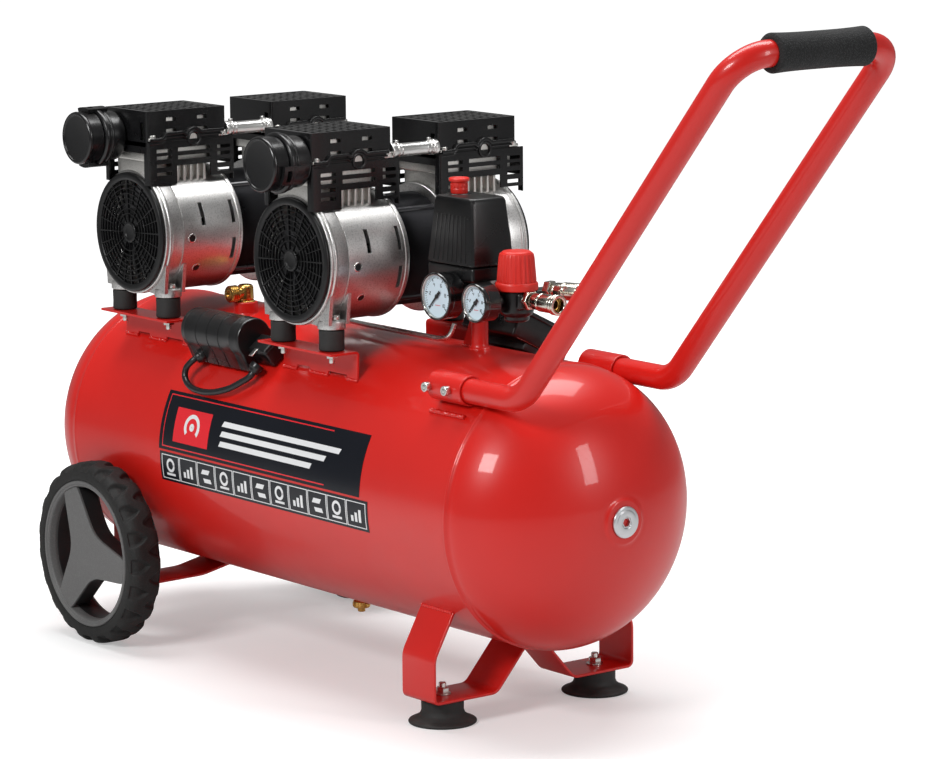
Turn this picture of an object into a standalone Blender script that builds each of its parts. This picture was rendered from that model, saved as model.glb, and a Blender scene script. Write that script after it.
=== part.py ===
"""Twin-motor oil-free air compressor on a horizontal wheeled tank.

World frame: +Z up, +X from the wheels towards the handle, -Y the side with the gauges.
Lengths in this file are millimetres, turned into metres by MM when a shape is made.
The tank stands with its middle at x = TANK_X, so that the whole machine's box is
centred on the origin and everything stands on z = 0.
"""
import math

import bmesh
import bpy
from mathutils import Matrix, Vector

MM = 0.001
GAP = 0.3

# Tank
TANK_R = 144.0
TANK_Z = 215.7
TANK_WALL = 2.7
SEAM_X = 330.8
DOME_DEPTH = 100.0
BOSS_R = 22.0
BOSS_FACE_X = 431.0
BOSS_BORE_R = 10.3

# Wheels
WHEEL_X = -248.6
WHEEL_R = 98.9
RIM_R = 79.7
WHEEL_FACE_Y = 188.3
WHEEL_WIDTH = 39.0
AXLE_R = 6.0

# Front feet and straps
FOOT_X = 267.0
FOOT_Y = 99.0
FOOT_R = 34.4
PAD_Z = 25.2
STRAP_WIDTH = 52.0
STRAP_THICK = 3.0

# Handle
HANDLE_Y = 96.5
HANDLE_Z = 340.6
HANDLE_R = 12.5
SOCKET_X = (262.0, 314.0)
SOCKET_R = 15.2
BEND_X = 391.7
HANDLE_TOP = (699.0, 691.7)
BEND_RADIUS = 44.0
TOP_BEND_RADIUS = 36.0
GRIP_R = 18.6
GRIP_HALF = 58.5

# Motor-pump units
UNIT_X = {"a": -234.2, "b": 61.0}
SIDES = {"near": -1.0, "far": 1.0}
CRANK_Z = 445.9
CASE_R = 66.0
CASE_WALL = 3.4
CASE_INNER_Y = 28.0
CASE_OUTER_Y = 127.0
GRILLE_R = 64.3
GRILLE_FACE_Y = 131.7
STATOR_R = 58.0
STATOR_BORE = 30.0
HEAD_HALF_X = 40.3
HEAD_Y = (30.4, 132.0)
HEAD_SPLIT_Z = 544.4
HEAD_TOP_Z = 578.6
SHROUD_Z = 499.0
SHROUD_LAP = 1.6
SHROUD_TAIL = 10.0
FILTER_DX = {"a": -20.8, "b": 20.0}
FILTER_Z = 549.0
FILTER_FACE_Y = 182.0
PIPE_DX = 36.0
PIPE_Z = 553.0
PIPE_R = 6.8

# Rubber buffers and their brackets
BUFFER_DX = 42.0
BUFFER_Y = 110.0
BUFFER_R = 13.2
PLATE_Z = 356.3
PLATE_THICK = 2.5
BUFFER_TOP = 378.3
PLATE_HALF_X = 64.0
PLATE_Y = (92.5, 127.0)

# Outlet group
RISER_X = 206.0
MANIFOLD_Z = 416.0
GAUGE_FACE_Y = 50.0
GAUGE_DEPTH = 22.5
GAUGES = {"tank": (196.6, 24.6), "line": (258.7, 20.0)}
SWITCH_X = 192.0
SWITCH_SEAM_Z = 446.0
SWITCH_TOP_Z = 514.0
SWITCH_SEAM_HALF = (38.5, 28.0)
SWITCH_TOP_HALF = (31.0, 22.5)
KNOB_X = 174.0
REGULATOR_X = 265.6
COUPLING_R = 10.4
COUPLINGS = {"near": ((291.0, 0.0, 417.3), 0.0), "far": ((283.0, 33.0, 424.0), 18.0)}

# Small pieces on the tank
VALVE_AT = (-161.0, -31.0)
CAPACITOR_X = (-146.0, -41.0)
CAPACITOR_AT = (-104.0, 350.0)
CAPACITOR_R = 22.5
CONNECTOR_X = (-44.0, -12.0)
TERMINAL_X = (130.0, 216.0)
TERMINAL_TILT = 26.5
LEAD_R = 3.4

# The machine's box runs from the tank's closed end to the front of the grip.
TANK_X = -(HANDLE_TOP[0] + GRIP_R - SEAM_X - DOME_DEPTH) / 2

FINISHES = {
    "red_paint": ((0.62, 0.012, 0.010), 0.25, 0.0),
    "cast_aluminium": ((0.62, 0.62, 0.62), 0.42, 1.0),
    "black_plastic": ((0.012, 0.012, 0.013), 0.40, 0.0),
    "black_paint": ((0.010, 0.010, 0.011), 0.35, 0.0),
    "black_rubber": ((0.018, 0.018, 0.018), 0.75, 0.0),
    "foam": ((0.012, 0.013, 0.014), 0.85, 0.0),
    "grey_plastic": ((0.10, 0.10, 0.10), 0.50, 0.0),
    "bright_steel": ((0.75, 0.75, 0.76), 0.22, 1.0),
    "brass": ((0.70, 0.47, 0.15), 0.28, 1.0),
    "red_plastic": ((0.72, 0.030, 0.018), 0.35, 0.0),
    "needle_black": ((0.004, 0.004, 0.004), 0.50, 0.0),
}

ALONG = {
    "+x": Matrix.Rotation(math.pi / 2, 4, "Y"),
    "-x": Matrix.Rotation(-math.pi / 2, 4, "Y"),
    "+y": Matrix.Rotation(-math.pi / 2, 4, "X"),
    "-y": Matrix.Rotation(math.pi / 2, 4, "X"),
    "+z": Matrix.Identity(4),
    "-z": Matrix.Rotation(math.pi, 4, "X"),
}
OUTLINE_PLANE = {
    "x": Matrix(((0, 0, 1, 0), (1, 0, 0, 0), (0, 1, 0, 0), (0, 0, 0, 1))),
    "y": Matrix(((1, 0, 0, 0), (0, 0, -1, 0), (0, 1, 0, 0), (0, 0, 0, 1))),
    "z": Matrix.Identity(4),
}


# ---------------------------------------------------------------- scene helpers

def clear_scene():
    for old in list(bpy.data.objects):
        bpy.data.objects.remove(old, do_unlink=True)


def collection(name):
    made = bpy.data.collections.new(name)
    bpy.context.scene.collection.children.link(made)
    return made


def material(finish):
    made = bpy.data.materials.get(finish)
    if made:
        return made
    color, roughness, metallic = FINISHES[finish]
    made = bpy.data.materials.new(finish)
    made.use_nodes = True
    shader = made.node_tree.nodes["Principled BSDF"]
    shader.inputs["Base Color"].default_value = (*color, 1.0)
    shader.inputs["Roughness"].default_value = roughness
    shader.inputs["Metallic"].default_value = metallic
    return made


def axis_empty(name, at):
    """An empty on a joint's axis, which carries the pieces that turn or slide with it."""
    empty = bpy.data.objects.new(name, None)
    PARTS.objects.link(empty)
    empty.location = Vector(at) * MM
    if name != "machine":
        empty.parent = ROOT
    return empty


def put(obj, finish=None, body=None, matrix=None):
    """Give an object its finish and its place in tank coordinates, carried by a body."""
    if finish is None:
        CUTTERS.objects.link(obj)
        obj.hide_render = True
        obj.display_type = "WIRE"
    else:
        PARTS.objects.link(obj)
        obj.data.materials.append(material(finish))
    obj.parent = body or ROOT
    if body:
        obj.matrix_parent_inverse = Matrix.Translation(-body.location)
    obj.matrix_basis = matrix or Matrix.Identity(4)
    return obj


def mesh_from(name, bm):
    mesh = bpy.data.meshes.new(name)
    bm.to_mesh(mesh)
    bm.free()
    return bpy.data.objects.new(name, mesh)


def lathe(name, profile, at, toward, finish=None, body=None, steps=32, ring=False):
    """Turn (radius, height) points about the direction `toward`, down the outer side."""
    bm = bmesh.new()
    points = [bm.verts.new((radius * MM, 0.0, height * MM)) for radius, height in profile]
    for first, second in zip(points, points[1:]):
        bm.edges.new((first, second))
    if ring:
        bm.edges.new((points[-1], points[0]))
    obj = mesh_from(name, bm)
    screw = obj.modifiers.new("Turn", "SCREW")
    screw.steps = steps
    screw.render_steps = steps
    screw.use_merge_vertices = True
    screw.merge_threshold = 0.00002
    screw.use_smooth_shade = True
    turn = ALONG[toward] if isinstance(toward, str) else toward
    return put(obj, finish, body, Matrix.Translation(Vector(at) * MM) @ turn)


def cylinder(radius, low, high):
    """A turned profile of a plain cylinder between two heights."""
    return [(0.0, high), (radius, high), (radius, low), (0.0, low)]


def tube_wall(outer, inner, low, high):
    """A closed profile of a plain ring; lathe it with ring=True."""
    return [(outer, high), (outer, low), (inner, low), (inner, high)]


def box(name, low, high, finish=None, body=None, bevel=0.0, turn=None):
    bm = bmesh.new()
    bmesh.ops.create_cube(bm, size=1.0)
    size = (Vector(high) - Vector(low)) * MM
    bmesh.ops.scale(bm, vec=size, verts=bm.verts)
    obj = mesh_from(name, bm)
    if bevel:
        soften(obj, bevel)
    middle = Matrix.Translation((Vector(high) + Vector(low)) / 2 * MM)
    return put(obj, finish, body, middle @ turn if turn else middle)


def frustum_box(name, base_half, top_half, centre, z_range, finish, bevel):
    """A box whose top is smaller than its base, such as a moulded cover with draft."""
    bm = bmesh.new()
    bmesh.ops.create_cube(bm, size=2.0)
    low, high = z_range
    for vert in bm.verts:
        half = top_half if vert.co.z > 0 else base_half
        height = high if vert.co.z > 0 else low
        vert.co = Vector((vert.co.x * half[0], vert.co.y * half[1], height)) * MM
    obj = mesh_from(name, bm)
    soften(obj, bevel)
    return put(obj, finish, None, Matrix.Translation(Vector((*centre, 0.0)) * MM))


def soften(obj, width):
    bevel = obj.modifiers.new("Edges", "BEVEL")
    bevel.width = width * MM
    bevel.segments = 1
    bevel.limit_method = "ANGLE"


def flat_outline(name, outlines, axis, low, high, finish=None, body=None):
    """Extrude closed outlines along an axis; the later outlines are holes in the first."""
    curve = bpy.data.curves.new(name, "CURVE")
    curve.dimensions = "2D"
    curve.fill_mode = "BOTH"
    curve.extrude = (high - low) / 2 * MM
    for outline in outlines:
        spline = curve.splines.new("POLY")
        spline.points.add(len(outline) - 1)
        for point, (across, up) in zip(spline.points, outline):
            point.co = (across * MM, up * MM, 0.0, 1.0)
        spline.use_cyclic_u = True
    shift = (low + high) / 2 * MM * (-1 if axis == "y" else 1)
    place = OUTLINE_PLANE[axis] @ Matrix.Translation((0.0, 0.0, shift))
    return put(welded_mesh(curve, name), finish, body, place)


def tube(name, points, radius, finish=None, body=None, resolution=3):
    """A round bar or tube with capped ends along a chain of points."""
    curve = bpy.data.curves.new(name, "CURVE")
    curve.dimensions = "3D"
    curve.bevel_depth = radius * MM
    curve.bevel_resolution = resolution
    curve.use_fill_caps = True
    spline = curve.splines.new("POLY")
    spline.points.add(len(points) - 1)
    for point, place in zip(spline.points, points):
        point.co = (*(Vector(place) * MM), 1.0)
    return put(welded_mesh(curve, name), finish, body)


def welded_mesh(curve, name):
    """Turn a curve into a mesh object with its caps welded on."""
    source = bpy.data.objects.new(name + "_curve", curve)
    bpy.context.scene.collection.objects.link(source)
    graph = bpy.context.evaluated_depsgraph_get()
    mesh = bpy.data.meshes.new_from_object(source.evaluated_get(graph))
    bpy.data.objects.remove(source, do_unlink=True)
    bm = bmesh.new()
    bm.from_mesh(mesh)
    bmesh.ops.remove_doubles(bm, verts=bm.verts, dist=0.00002)
    bmesh.ops.recalc_face_normals(bm, faces=bm.faces)
    bm.to_mesh(mesh)
    bm.free()
    return bpy.data.objects.new(name, mesh)


def combine(target, operation, *others):
    for other in others:
        modifier = target.modifiers.new(operation.title(), "BOOLEAN")
        modifier.operation = operation
        modifier.object = other
    return target


def arc(centre, radius, start, end, steps):
    """Points on a circle from one angle to another, in degrees."""
    turns = [math.radians(start + (end - start) * i / steps) for i in range(steps + 1)]
    return [(centre[0] + radius * math.cos(t), centre[1] + radius * math.sin(t)) for t in turns]


def rounded_path(corners, radii, steps):
    """Replace each inner corner of a chain by an arc that is tangent to both its sides."""
    corners = [Vector(corner) for corner in corners]
    path = [corners[0]]
    for before, corner, after, radius in zip(corners, corners[1:], corners[2:], radii):
        back = (before - corner).normalized()
        ahead = (after - corner).normalized()
        half = back.angle(ahead) / 2
        middle = corner + (back + ahead).normalized() * radius / math.sin(half)
        start = corner + back * radius / math.tan(half) - middle
        end = corner + ahead * radius / math.tan(half) - middle
        first, last = start.normalized(), end.normalized()
        path += [middle + first.slerp(last, i / steps) * radius for i in range(steps + 1)]
    return path + [corners[-1]]


def strip_outline(centre_line, thick):
    """The closed outline of a bent strip: its centre line moved half a thickness each way."""
    points = [Vector(point) for point in centre_line]
    left, right = [], []
    for i, point in enumerate(points):
        before = (point - points[i - 1]).normalized() if i else None
        after = (points[i + 1] - point).normalized() if i + 1 < len(points) else None
        along = ((before or after) + (after or before)).normalized()
        normal = Vector((-along.y, along.x))
        side = Vector((-(after or before).y, (after or before).x))
        reach = thick / 2 / max(normal.dot(side), 0.3)
        left.append(tuple(point + normal * reach))
        right.append(tuple(point - normal * reach))
    return left + right[::-1]


# ---------------------------------------------------------------- tank and frame

def dome_arc(radius, depth, start, end, steps):
    """Quarter-ellipse points (radius, height above the seam) between two angles."""
    turns = [math.radians(start + (end - start) * i / steps) for i in range(steps + 1)]
    return [(radius * math.cos(t), depth * math.sin(t)) for t in turns]


def tank_profile():
    """The wall's section, up its inner side from the closed pole and down its outer side."""
    inner_r = TANK_R - TANK_WALL
    inner_d = DOME_DEPTH - TANK_WALL
    rim = math.degrees(math.acos(BOSS_BORE_R / inner_r))
    collar = math.degrees(math.acos(BOSS_R / TANK_R))
    inner = [(r, -SEAM_X - h) for r, h in dome_arc(inner_r, inner_d, 90, 0, 4)]
    inner += [(r, SEAM_X + h) for r, h in dome_arc(inner_r, inner_d, 0, rim, 4)]
    boss = [(BOSS_BORE_R, BOSS_FACE_X), (BOSS_R - 1.5, BOSS_FACE_X)]
    outer = [(r, SEAM_X + h) for r, h in dome_arc(TANK_R, DOME_DEPTH, collar, 6, 6)]
    bead = [(TANK_R - 1.2, 2.5), (TANK_R + 1.0, 0.0), (TANK_R, -3.0)]
    outer += [(r, SEAM_X + h) for r, h in bead]
    outer += [(r, -SEAM_X - h) for r, h in reversed(bead)]
    outer += [(r, -SEAM_X - h) for r, h in dome_arc(TANK_R, DOME_DEPTH, 6, 90, 6)]
    return inner + boss + outer


def tank():
    """Hollow tank with its plug boss, and the two sockets that are welded on for the handle."""
    shell = lathe("tank_shell", tank_profile(), (0, 0, TANK_Z), "+x", "red_paint", steps=36)
    for side in SIDES.values():
        at = (0, side * HANDLE_Y, HANDLE_Z)
        low, high = SOCKET_X
        sleeve = lathe("socket_sleeve", cylinder(SOCKET_R, low, high), at, "+x", steps=20)
        bore = cylinder(HANDLE_R + GAP, low + 4.0, high + 10.0)
        combine(shell, "UNION", sleeve)
        combine(shell, "DIFFERENCE", lathe("socket_bore", bore, at, "+x", steps=20))


def plug():
    flange = 15.8
    face = BOSS_FACE_X + 3.6
    profile = [(0, face - 7), (4.6, face - 7), (4.6, face), (flange - 1, face), (flange, face - 1),
               (flange, BOSS_FACE_X + GAP), (BOSS_BORE_R - GAP, BOSS_FACE_X + GAP),
               (BOSS_BORE_R - GAP, BOSS_FACE_X - 12), (0, BOSS_FACE_X - 12)]
    lathe("tank_plug", profile, (0, 0, TANK_Z), "+x", "bright_steel", steps=16)


def drain_tap():
    """Small tap under the tank's middle that lets the condensed water out."""
    top = TANK_Z - TANK_R - GAP - 0.1
    body = axis_empty("drain_tap_axis", (0, 0, top))
    profile = [(0, 0), (6, 0), (6, -7), (9, -8), (9, -15), (4, -16), (4, -20), (0, -20)]
    tap = lathe("drain_tap", profile, (0, 0, top), "+z", "brass", body, steps=12)
    combine(tap, "UNION", box("drain_wing", (-13, -1.5, top - 14), (13, 1.5, top - 9)))


def front_strap():
    """Bent W of flat bar under the tank's front, with a level pad over each foot."""
    pad = PAD_Z + STRAP_THICK / 2
    half = [(12.0, TANK_Z - TANK_R - 2.3), (50.0, pad), (128.0, pad), (128.0, 72.0), (106.5, 110.5)]
    line = [(-y, z) for y, z in reversed(half)] + half
    x0, x1 = FOOT_X - STRAP_WIDTH / 2, FOOT_X + STRAP_WIDTH / 2
    flat_outline("front_foot_strap", [strip_outline(line, STRAP_THICK)], "x", x0, x1, "red_paint")


def wheel_strap():
    """Bent flat bar under the tank's rear, whose upright ends carry the axle pins."""
    half = [(12.0, TANK_Z - TANK_R - 2.3), (50.0, 61.5), (128.0, 60.0), (131.0, 64.0), (131.0, 153.0)]
    line = [(-y, z) for y, z in reversed(half)] + half
    x0, x1 = WHEEL_X - STRAP_WIDTH / 2, WHEEL_X + STRAP_WIDTH / 2
    outline = strip_outline(line, STRAP_THICK)
    strap = flat_outline("wheel_strap", [outline], "x", x0, x1, "red_paint")
    for side, toward in ((-1, "-y"), (1, "+y")):
        pin = cylinder(AXLE_R, 130.5, WHEEL_FACE_Y - 16)
        combine(strap, "UNION", lathe("axle_pin", pin, (WHEEL_X, 0, WHEEL_R), toward, steps=16))


def feet():
    for name, side in (("front_foot_near", -1), ("front_foot_far", 1)):
        top = PAD_Z - GAP
        profile = [(0, top), (21, top), (21.5, 12), (24, 8), (FOOT_R, 3), (FOOT_R, 0), (0, 0)]
        lathe(name, profile, (FOOT_X, side * FOOT_Y, 0), "+z", "black_rubber", steps=24)


def wheel_window(middle):
    """Opening between two spokes: a rim arc and two straight sides to a round inner corner."""
    rim = arc((0, 0), 71.0, middle - 49, middle + 49, 8)
    corner = arc((0, 0), 30.0, middle + 14, middle - 14, 2)
    return rim + corner


def wheel(name, side):
    """One wheel: rubber tyre and a three-spoke plastic hub that turn on the axle pin."""
    toward = "-y" if side < 0 else "+y"
    body = axis_empty(name + "_axis", (WHEEL_X, side * (WHEEL_FACE_Y - WHEEL_WIDTH / 2), WHEEL_R))
    at = (WHEEL_X, 0, WHEEL_R)
    back, face = WHEEL_FACE_Y - WHEEL_WIDTH, WHEEL_FACE_Y
    tyre = [(RIM_R + GAP, face), (91, face), (WHEEL_R, face - 8), (WHEEL_R, back + 8), (91, back),
            (RIM_R + GAP, back)]
    lathe(name + "_tyre", tyre, at, toward, "black_rubber", body, steps=36, ring=True)
    rim = [(RIM_R, face - 0.5), (RIM_R, back + 0.5), (72, back + 0.5), (72, face - 0.5)]
    hub = lathe(name + "_hub", rim, at, toward, "grey_plastic", body, steps=36, ring=True)
    disc = lathe("hub_disc", cylinder(74.0, face - 12, face - 2), at, toward, None, body, steps=36)
    for turn in (53, 173, 293):
        window = [(WHEEL_X + side * -across, WHEEL_R + up) for across, up in wheel_window(turn)]
        low, high = sorted((side * (face - 20), side * (face + 5)))
        combine(disc, "DIFFERENCE", flat_outline("hub_window", [window], "y", low, high))
    boss = lathe("hub_boss", cylinder(15.0, back + 4, face - 4), at, toward, None, body, steps=20)
    bore_profile = cylinder(AXLE_R + GAP, back - 10, face - 14)
    bore = lathe("hub_bore", bore_profile, at, toward, None, body, steps=16)
    combine(hub, "UNION", disc, boss)
    combine(hub, "DIFFERENCE", bore)


def handle():
    start = SOCKET_X[0] + 4.0 + GAP
    top_x, top_z = HANDLE_TOP
    half = [(start, HANDLE_Z), (BEND_X, HANDLE_Z), (top_x, top_z)]
    corners = [(x, -HANDLE_Y, z) for x, z in half] + [(x, HANDLE_Y, z) for x, z in reversed(half)]
    radii = [BEND_RADIUS, TOP_BEND_RADIUS, TOP_BEND_RADIUS, BEND_RADIUS]
    tube("handle_bar", rounded_path(corners, radii, 5), HANDLE_R, "red_paint", resolution=3)
    inner = HANDLE_R + GAP
    grip = [(inner, GRIP_HALF), (GRIP_R - 1, GRIP_HALF), (GRIP_R, GRIP_HALF - 4), (17.4, 30),
            (17.4, -30), (GRIP_R, -GRIP_HALF + 4), (GRIP_R - 1, -GRIP_HALF), (inner, -GRIP_HALF)]
    lathe("handle_grip", grip, (top_x, 0, top_z), "+y", "foam", steps=16, ring=True)


# ---------------------------------------------------------------- motor-pump units

def crankcase(unit, end):
    """Cast cup around one end of the motor, with two foot lugs over its buffers."""
    x, side = UNIT_X[unit], SIDES[end]
    toward = "-y" if side < 0 else "+y"
    at = (x, 0, CRANK_Z)
    inner = CASE_R - CASE_WALL
    rear = CASE_INNER_Y
    wall = [(inner, CASE_OUTER_Y), (CASE_R, CASE_OUTER_Y), (CASE_R, rear), (9, rear), (9, rear + 4),
            (inner, rear + 4)]
    case = lathe(f"crankcase_{unit}_{end}", wall, at, toward, "cast_aluminium", steps=32, ring=True)
    y0, y1 = sorted((side * 96.0, side * 124.0))
    low = BUFFER_TOP + GAP
    lugs = box("case_lugs", (x - 56, y0, low), (x + 56, y1, low + 15))
    hollow = cylinder(inner, rear + 6, CASE_OUTER_Y + 3)
    combine(lugs, "DIFFERENCE", lathe("case_hollow", hollow, at, toward, steps=32))
    combine(case, "UNION", lugs)


def grille(unit, end):
    """Round fan guard: outer band, hub and radial bars with openings between them."""
    side = SIDES[end]
    x = UNIT_X[unit]
    bars = 8
    ring = arc((x, CRANK_Z), GRILLE_R, 0, 360 * 31 / 32, 31)
    openings = []
    for i in range(bars):
        start, end_turn = 360 / bars * i + 4, 360 / bars * (i + 1) - 4
        outer = arc((x, CRANK_Z), 56.0, start, end_turn, 3)
        openings.append(outer + arc((x, CRANK_Z), 15.0, end_turn - 6, start + 6, 1))
    low, high = sorted((side * (CASE_OUTER_Y + GAP), side * GRILLE_FACE_Y))
    flat_outline(f"grille_{unit}_{end}", [ring] + openings, "y", low, high, "black_plastic")


def stator(unit):
    length = CASE_INNER_Y - GAP
    wall = tube_wall(STATOR_R, STATOR_BORE, -length, length)
    at = (UNIT_X[unit], 0, CRANK_Z)
    lathe(f"stator_{unit}", wall, at, "+y", "black_paint", steps=24, ring=True)


def rotor(unit):
    """Rotor core, shaft and the cooling fan disc at each end, turning in one piece."""
    at = (UNIT_X[unit], 0, CRANK_Z)
    body = axis_empty(f"rotor_{unit}_axis", at)
    half = [(0, 121), (9, 121), (50, 117), (50, 111), (7, 108), (7, 25), (STATOR_BORE - 0.6, 25)]
    profile = half + [(radius, -height) for radius, height in reversed(half)]
    lathe(f"rotor_{unit}", profile, at, "+y", "bright_steel", body, steps=16)


def head(unit, end):
    """Black cover over one cylinder head, with a longer shroud that straddles the crankcase."""
    x, side = UNIT_X[unit], SIDES[end]
    inner, outer = HEAD_Y
    y0, y1 = sorted((side * inner, side * outer))
    wide = HEAD_HALF_X + SHROUD_LAP
    low, top = (x - wide, y0, SHROUD_Z), (x + wide, y1 + SHROUD_TAIL, HEAD_SPLIT_Z)
    cover = box(f"head_{unit}_{end}", low, top, "black_plastic", bevel=1.5)
    upper = box("head_upper", (x - HEAD_HALF_X, y0 + 0.4, HEAD_SPLIT_Z - 4),
                (x + HEAD_HALF_X, y1 - 0.4, HEAD_TOP_Z), bevel=2.0)
    saddle = lathe("head_saddle", cylinder(CASE_R + GAP + 0.3, -140, 140), (x, 0, CRANK_Z), "+y",
                   steps=32)
    combine(cover, "UNION", upper)
    combine(cover, "DIFFERENCE", saddle)


def intake_filter(unit):
    """Round intake silencer on the near head: a body, a clip band and a cap."""
    near = HEAD_Y[1] + GAP
    profile = [(0, FILTER_FACE_Y), (25, FILTER_FACE_Y), (26.5, FILTER_FACE_Y - 1.5), (26.5, 163),
               (28, 162), (28, 156), (25, 155), (25, near + 2), (12, near + 2), (12, near), (0, near)]
    at = (UNIT_X[unit] + FILTER_DX[unit], 0, FILTER_Z)
    lathe(f"intake_filter_{unit}", profile, at, "-y", "black_plastic", steps=20)


def transfer_pipe(unit):
    half = HEAD_Y[0] - GAP
    profile = [(0, half), (8.2, half), (8.2, half - 6), (PIPE_R, half - 7)]
    profile += [(radius, -height) for radius, height in reversed(profile)]
    at = (UNIT_X[unit] + PIPE_DX, 0, PIPE_Z)
    lathe(f"transfer_pipe_{unit}", profile, at, "+y", "bright_steel", steps=12)


def buffers_and_bracket(unit, end):
    """Bent plate welded to the tank's shoulder, and the two rubber buffers that stand on it."""
    x, side = UNIT_X[unit], SIDES[end]
    inner, outer = PLATE_Y
    middle = PLATE_Z - PLATE_THICK / 2
    reach = TANK_R + PLATE_THICK / 2 + 0.4
    foot_y = 93.5
    foot_z = TANK_Z + math.sqrt(reach ** 2 - foot_y ** 2) + 0.8
    line = [(side * outer, middle), (side * inner, middle), (side * foot_y, foot_z)]
    low, high = x - PLATE_HALF_X, x + PLATE_HALF_X
    name = f"bracket_{unit}_{end}"
    flat_outline(name, [strip_outline(line, PLATE_THICK)], "x", low, high, "red_paint")
    for tag, dx in (("rear", -BUFFER_DX), ("front", BUFFER_DX)):
        at = (x + dx, side * BUFFER_Y, 0)
        wall = cylinder(BUFFER_R, PLATE_Z + GAP, BUFFER_TOP)
        lathe(f"buffer_{unit}_{end}_{tag}", wall, at, "+z", "black_rubber", steps=16)


# ---------------------------------------------------------------- outlet group

def outlet_riser():
    """Pipe that carries the outlet group on the tank's top, with its stiffening plate."""
    low, high = TANK_Z + TANK_R + 0.5, MANIFOLD_Z - 13 - GAP
    riser = lathe("outlet_riser", cylinder(8.6, low, high), (RISER_X, 0, 0), "+z", "red_paint",
                  steps=16)
    rib = box("riser_rib", (RISER_X - 26, -1.5, low), (RISER_X - 4, 1.5, high - 14))
    combine(riser, "UNION", rib)


def manifold():
    """Distributor block with the switch's base plate, the gauge stems and the outlets."""
    y_front = -13.0
    block = box("manifold", (180, y_front, MANIFOLD_Z - 13), (284, 13, MANIFOLD_Z + 9), "black_plastic",
                bevel=2.0)
    base_x, base_y = SWITCH_SEAM_HALF
    z0, z1 = MANIFOLD_Z + 14, SWITCH_SEAM_Z - GAP
    neck = box("switch_neck", (SWITCH_X - 18, -12, MANIFOLD_Z), (SWITCH_X + 18, 12, z0 + 1))
    base = box("switch_base", (SWITCH_X - base_x + 1, -base_y + 1, z0),
               (SWITCH_X + base_x - 1, base_y - 1, z1))
    body = lathe("regulator_body", cylinder(17.0, MANIFOLD_Z - 22, MANIFOLD_Z + 9.5),
                 (REGULATOR_X, 0, 0), "+z", steps=20)
    combine(block, "UNION", neck, base, body)
    for name, (x, _) in GAUGES.items():
        stem = cylinder(6.0, 12.0, GAUGE_FACE_Y - GAUGE_DEPTH - GAP)
        at = (x, 0, MANIFOLD_Z)
        combine(block, "UNION", lathe(f"stem_{name}", stem, at, "-y", steps=12))
    arm = box("far_outlet", (258, 8, MANIFOLD_Z - 8), (280, 40, MANIFOLD_Z + 9.2))
    combine(block, "UNION", arm)
    for name, (start, turn) in COUPLINGS.items():
        combine(block, "UNION", coupling_piece(f"spigot_{name}", cylinder(5.0, -9, 12), start, turn))


def coupling_piece(name, profile, start, turn, finish=None, body=None, ring=False):
    """A turned piece on an outlet's axis, which is level and turned from +X towards +Y."""
    toward = Matrix.Rotation(math.radians(turn), 4, "Z") @ ALONG["+x"]
    return lathe(name, profile, start, toward, finish, body, steps=14, ring=ring)


def coupling_sleeve(name):
    """Sprung sleeve of a quick coupling: a ring that slides back on its spigot."""
    start, turn = COUPLINGS[name]
    body = axis_empty(f"coupling_{name}_axis", start)
    inner, bore, lip = 5.0 + GAP, 6.6, COUPLING_R
    wall = [(bore, 41), (lip, 41), (lip, 34), (9.2, 33), (9.2, 14), (8.2, 12), (8.2, 4),
            (inner, 4), (inner, 14), (bore, 16)]
    coupling_piece(f"coupling_{name}", wall, start, turn, "bright_steel", body, ring=True)


def switch():
    frustum_box("switch_cover", SWITCH_SEAM_HALF, SWITCH_TOP_HALF, (SWITCH_X, 0),
                (SWITCH_SEAM_Z, SWITCH_TOP_Z), "black_plastic", 1.5)
    at = (KNOB_X, 0, SWITCH_TOP_Z + 5.0 + GAP)
    body = axis_empty("switch_knob_axis", at)
    profile = [(0, 11), (8.5, 11), (10.8, 9), (10.8, 6.5), (8.9, 5), (8.6, -5), (0, -5)]
    lathe("switch_knob", profile, at, "+z", "red_plastic", body, steps=20)


def gauge(name):
    """Round gauge in a black can, open at its face, with a needle that turns inside it."""
    x, radius = GAUGES[name]
    face = GAUGE_FACE_Y
    at = (x, 0, MANIFOLD_Z)
    can = [(0, face - 4), (radius - 2, face - 4), (radius - 2, face), (radius, face),
           (radius, face - GAUGE_DEPTH + 2), (radius - 2, face - GAUGE_DEPTH), (0, face - GAUGE_DEPTH)]
    lathe(f"gauge_{name}", can, at, "-y", "black_plastic", steps=24)
    body = axis_empty(f"needle_{name}_axis", (x, -face, MANIFOLD_Z))
    tip, tail = radius * 0.72, radius * 0.30
    direction = Vector((math.cos(math.radians(225)), math.sin(math.radians(225))))
    across = Vector((-direction.y, direction.x))
    centre = Vector((x, MANIFOLD_Z))
    outline = [centre + direction * tip + across * 0.2, centre - direction * tail + across * 1.1,
               centre - direction * tail - across * 1.1, centre + direction * tip - across * 0.2]
    low, high = -face + 1.6, -face + 2.6
    flat_outline(f"needle_{name}", [outline], "y", low, high, "needle_black", body)


def regulator_knob():
    at = (REGULATOR_X, 0, 0)
    body = axis_empty("regulator_knob_axis", (REGULATOR_X, 0, MANIFOLD_Z))
    low = MANIFOLD_Z + 9.5 + GAP
    profile = [(0, 465), (15, 465), (17.8, 462), (20.4, 435), (21.6, 433), (21.6, low), (0, low)]
    lathe("regulator_knob", profile, at, "+z", "red_plastic", body, steps=24)


# ---------------------------------------------------------------- pieces on the tank

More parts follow.
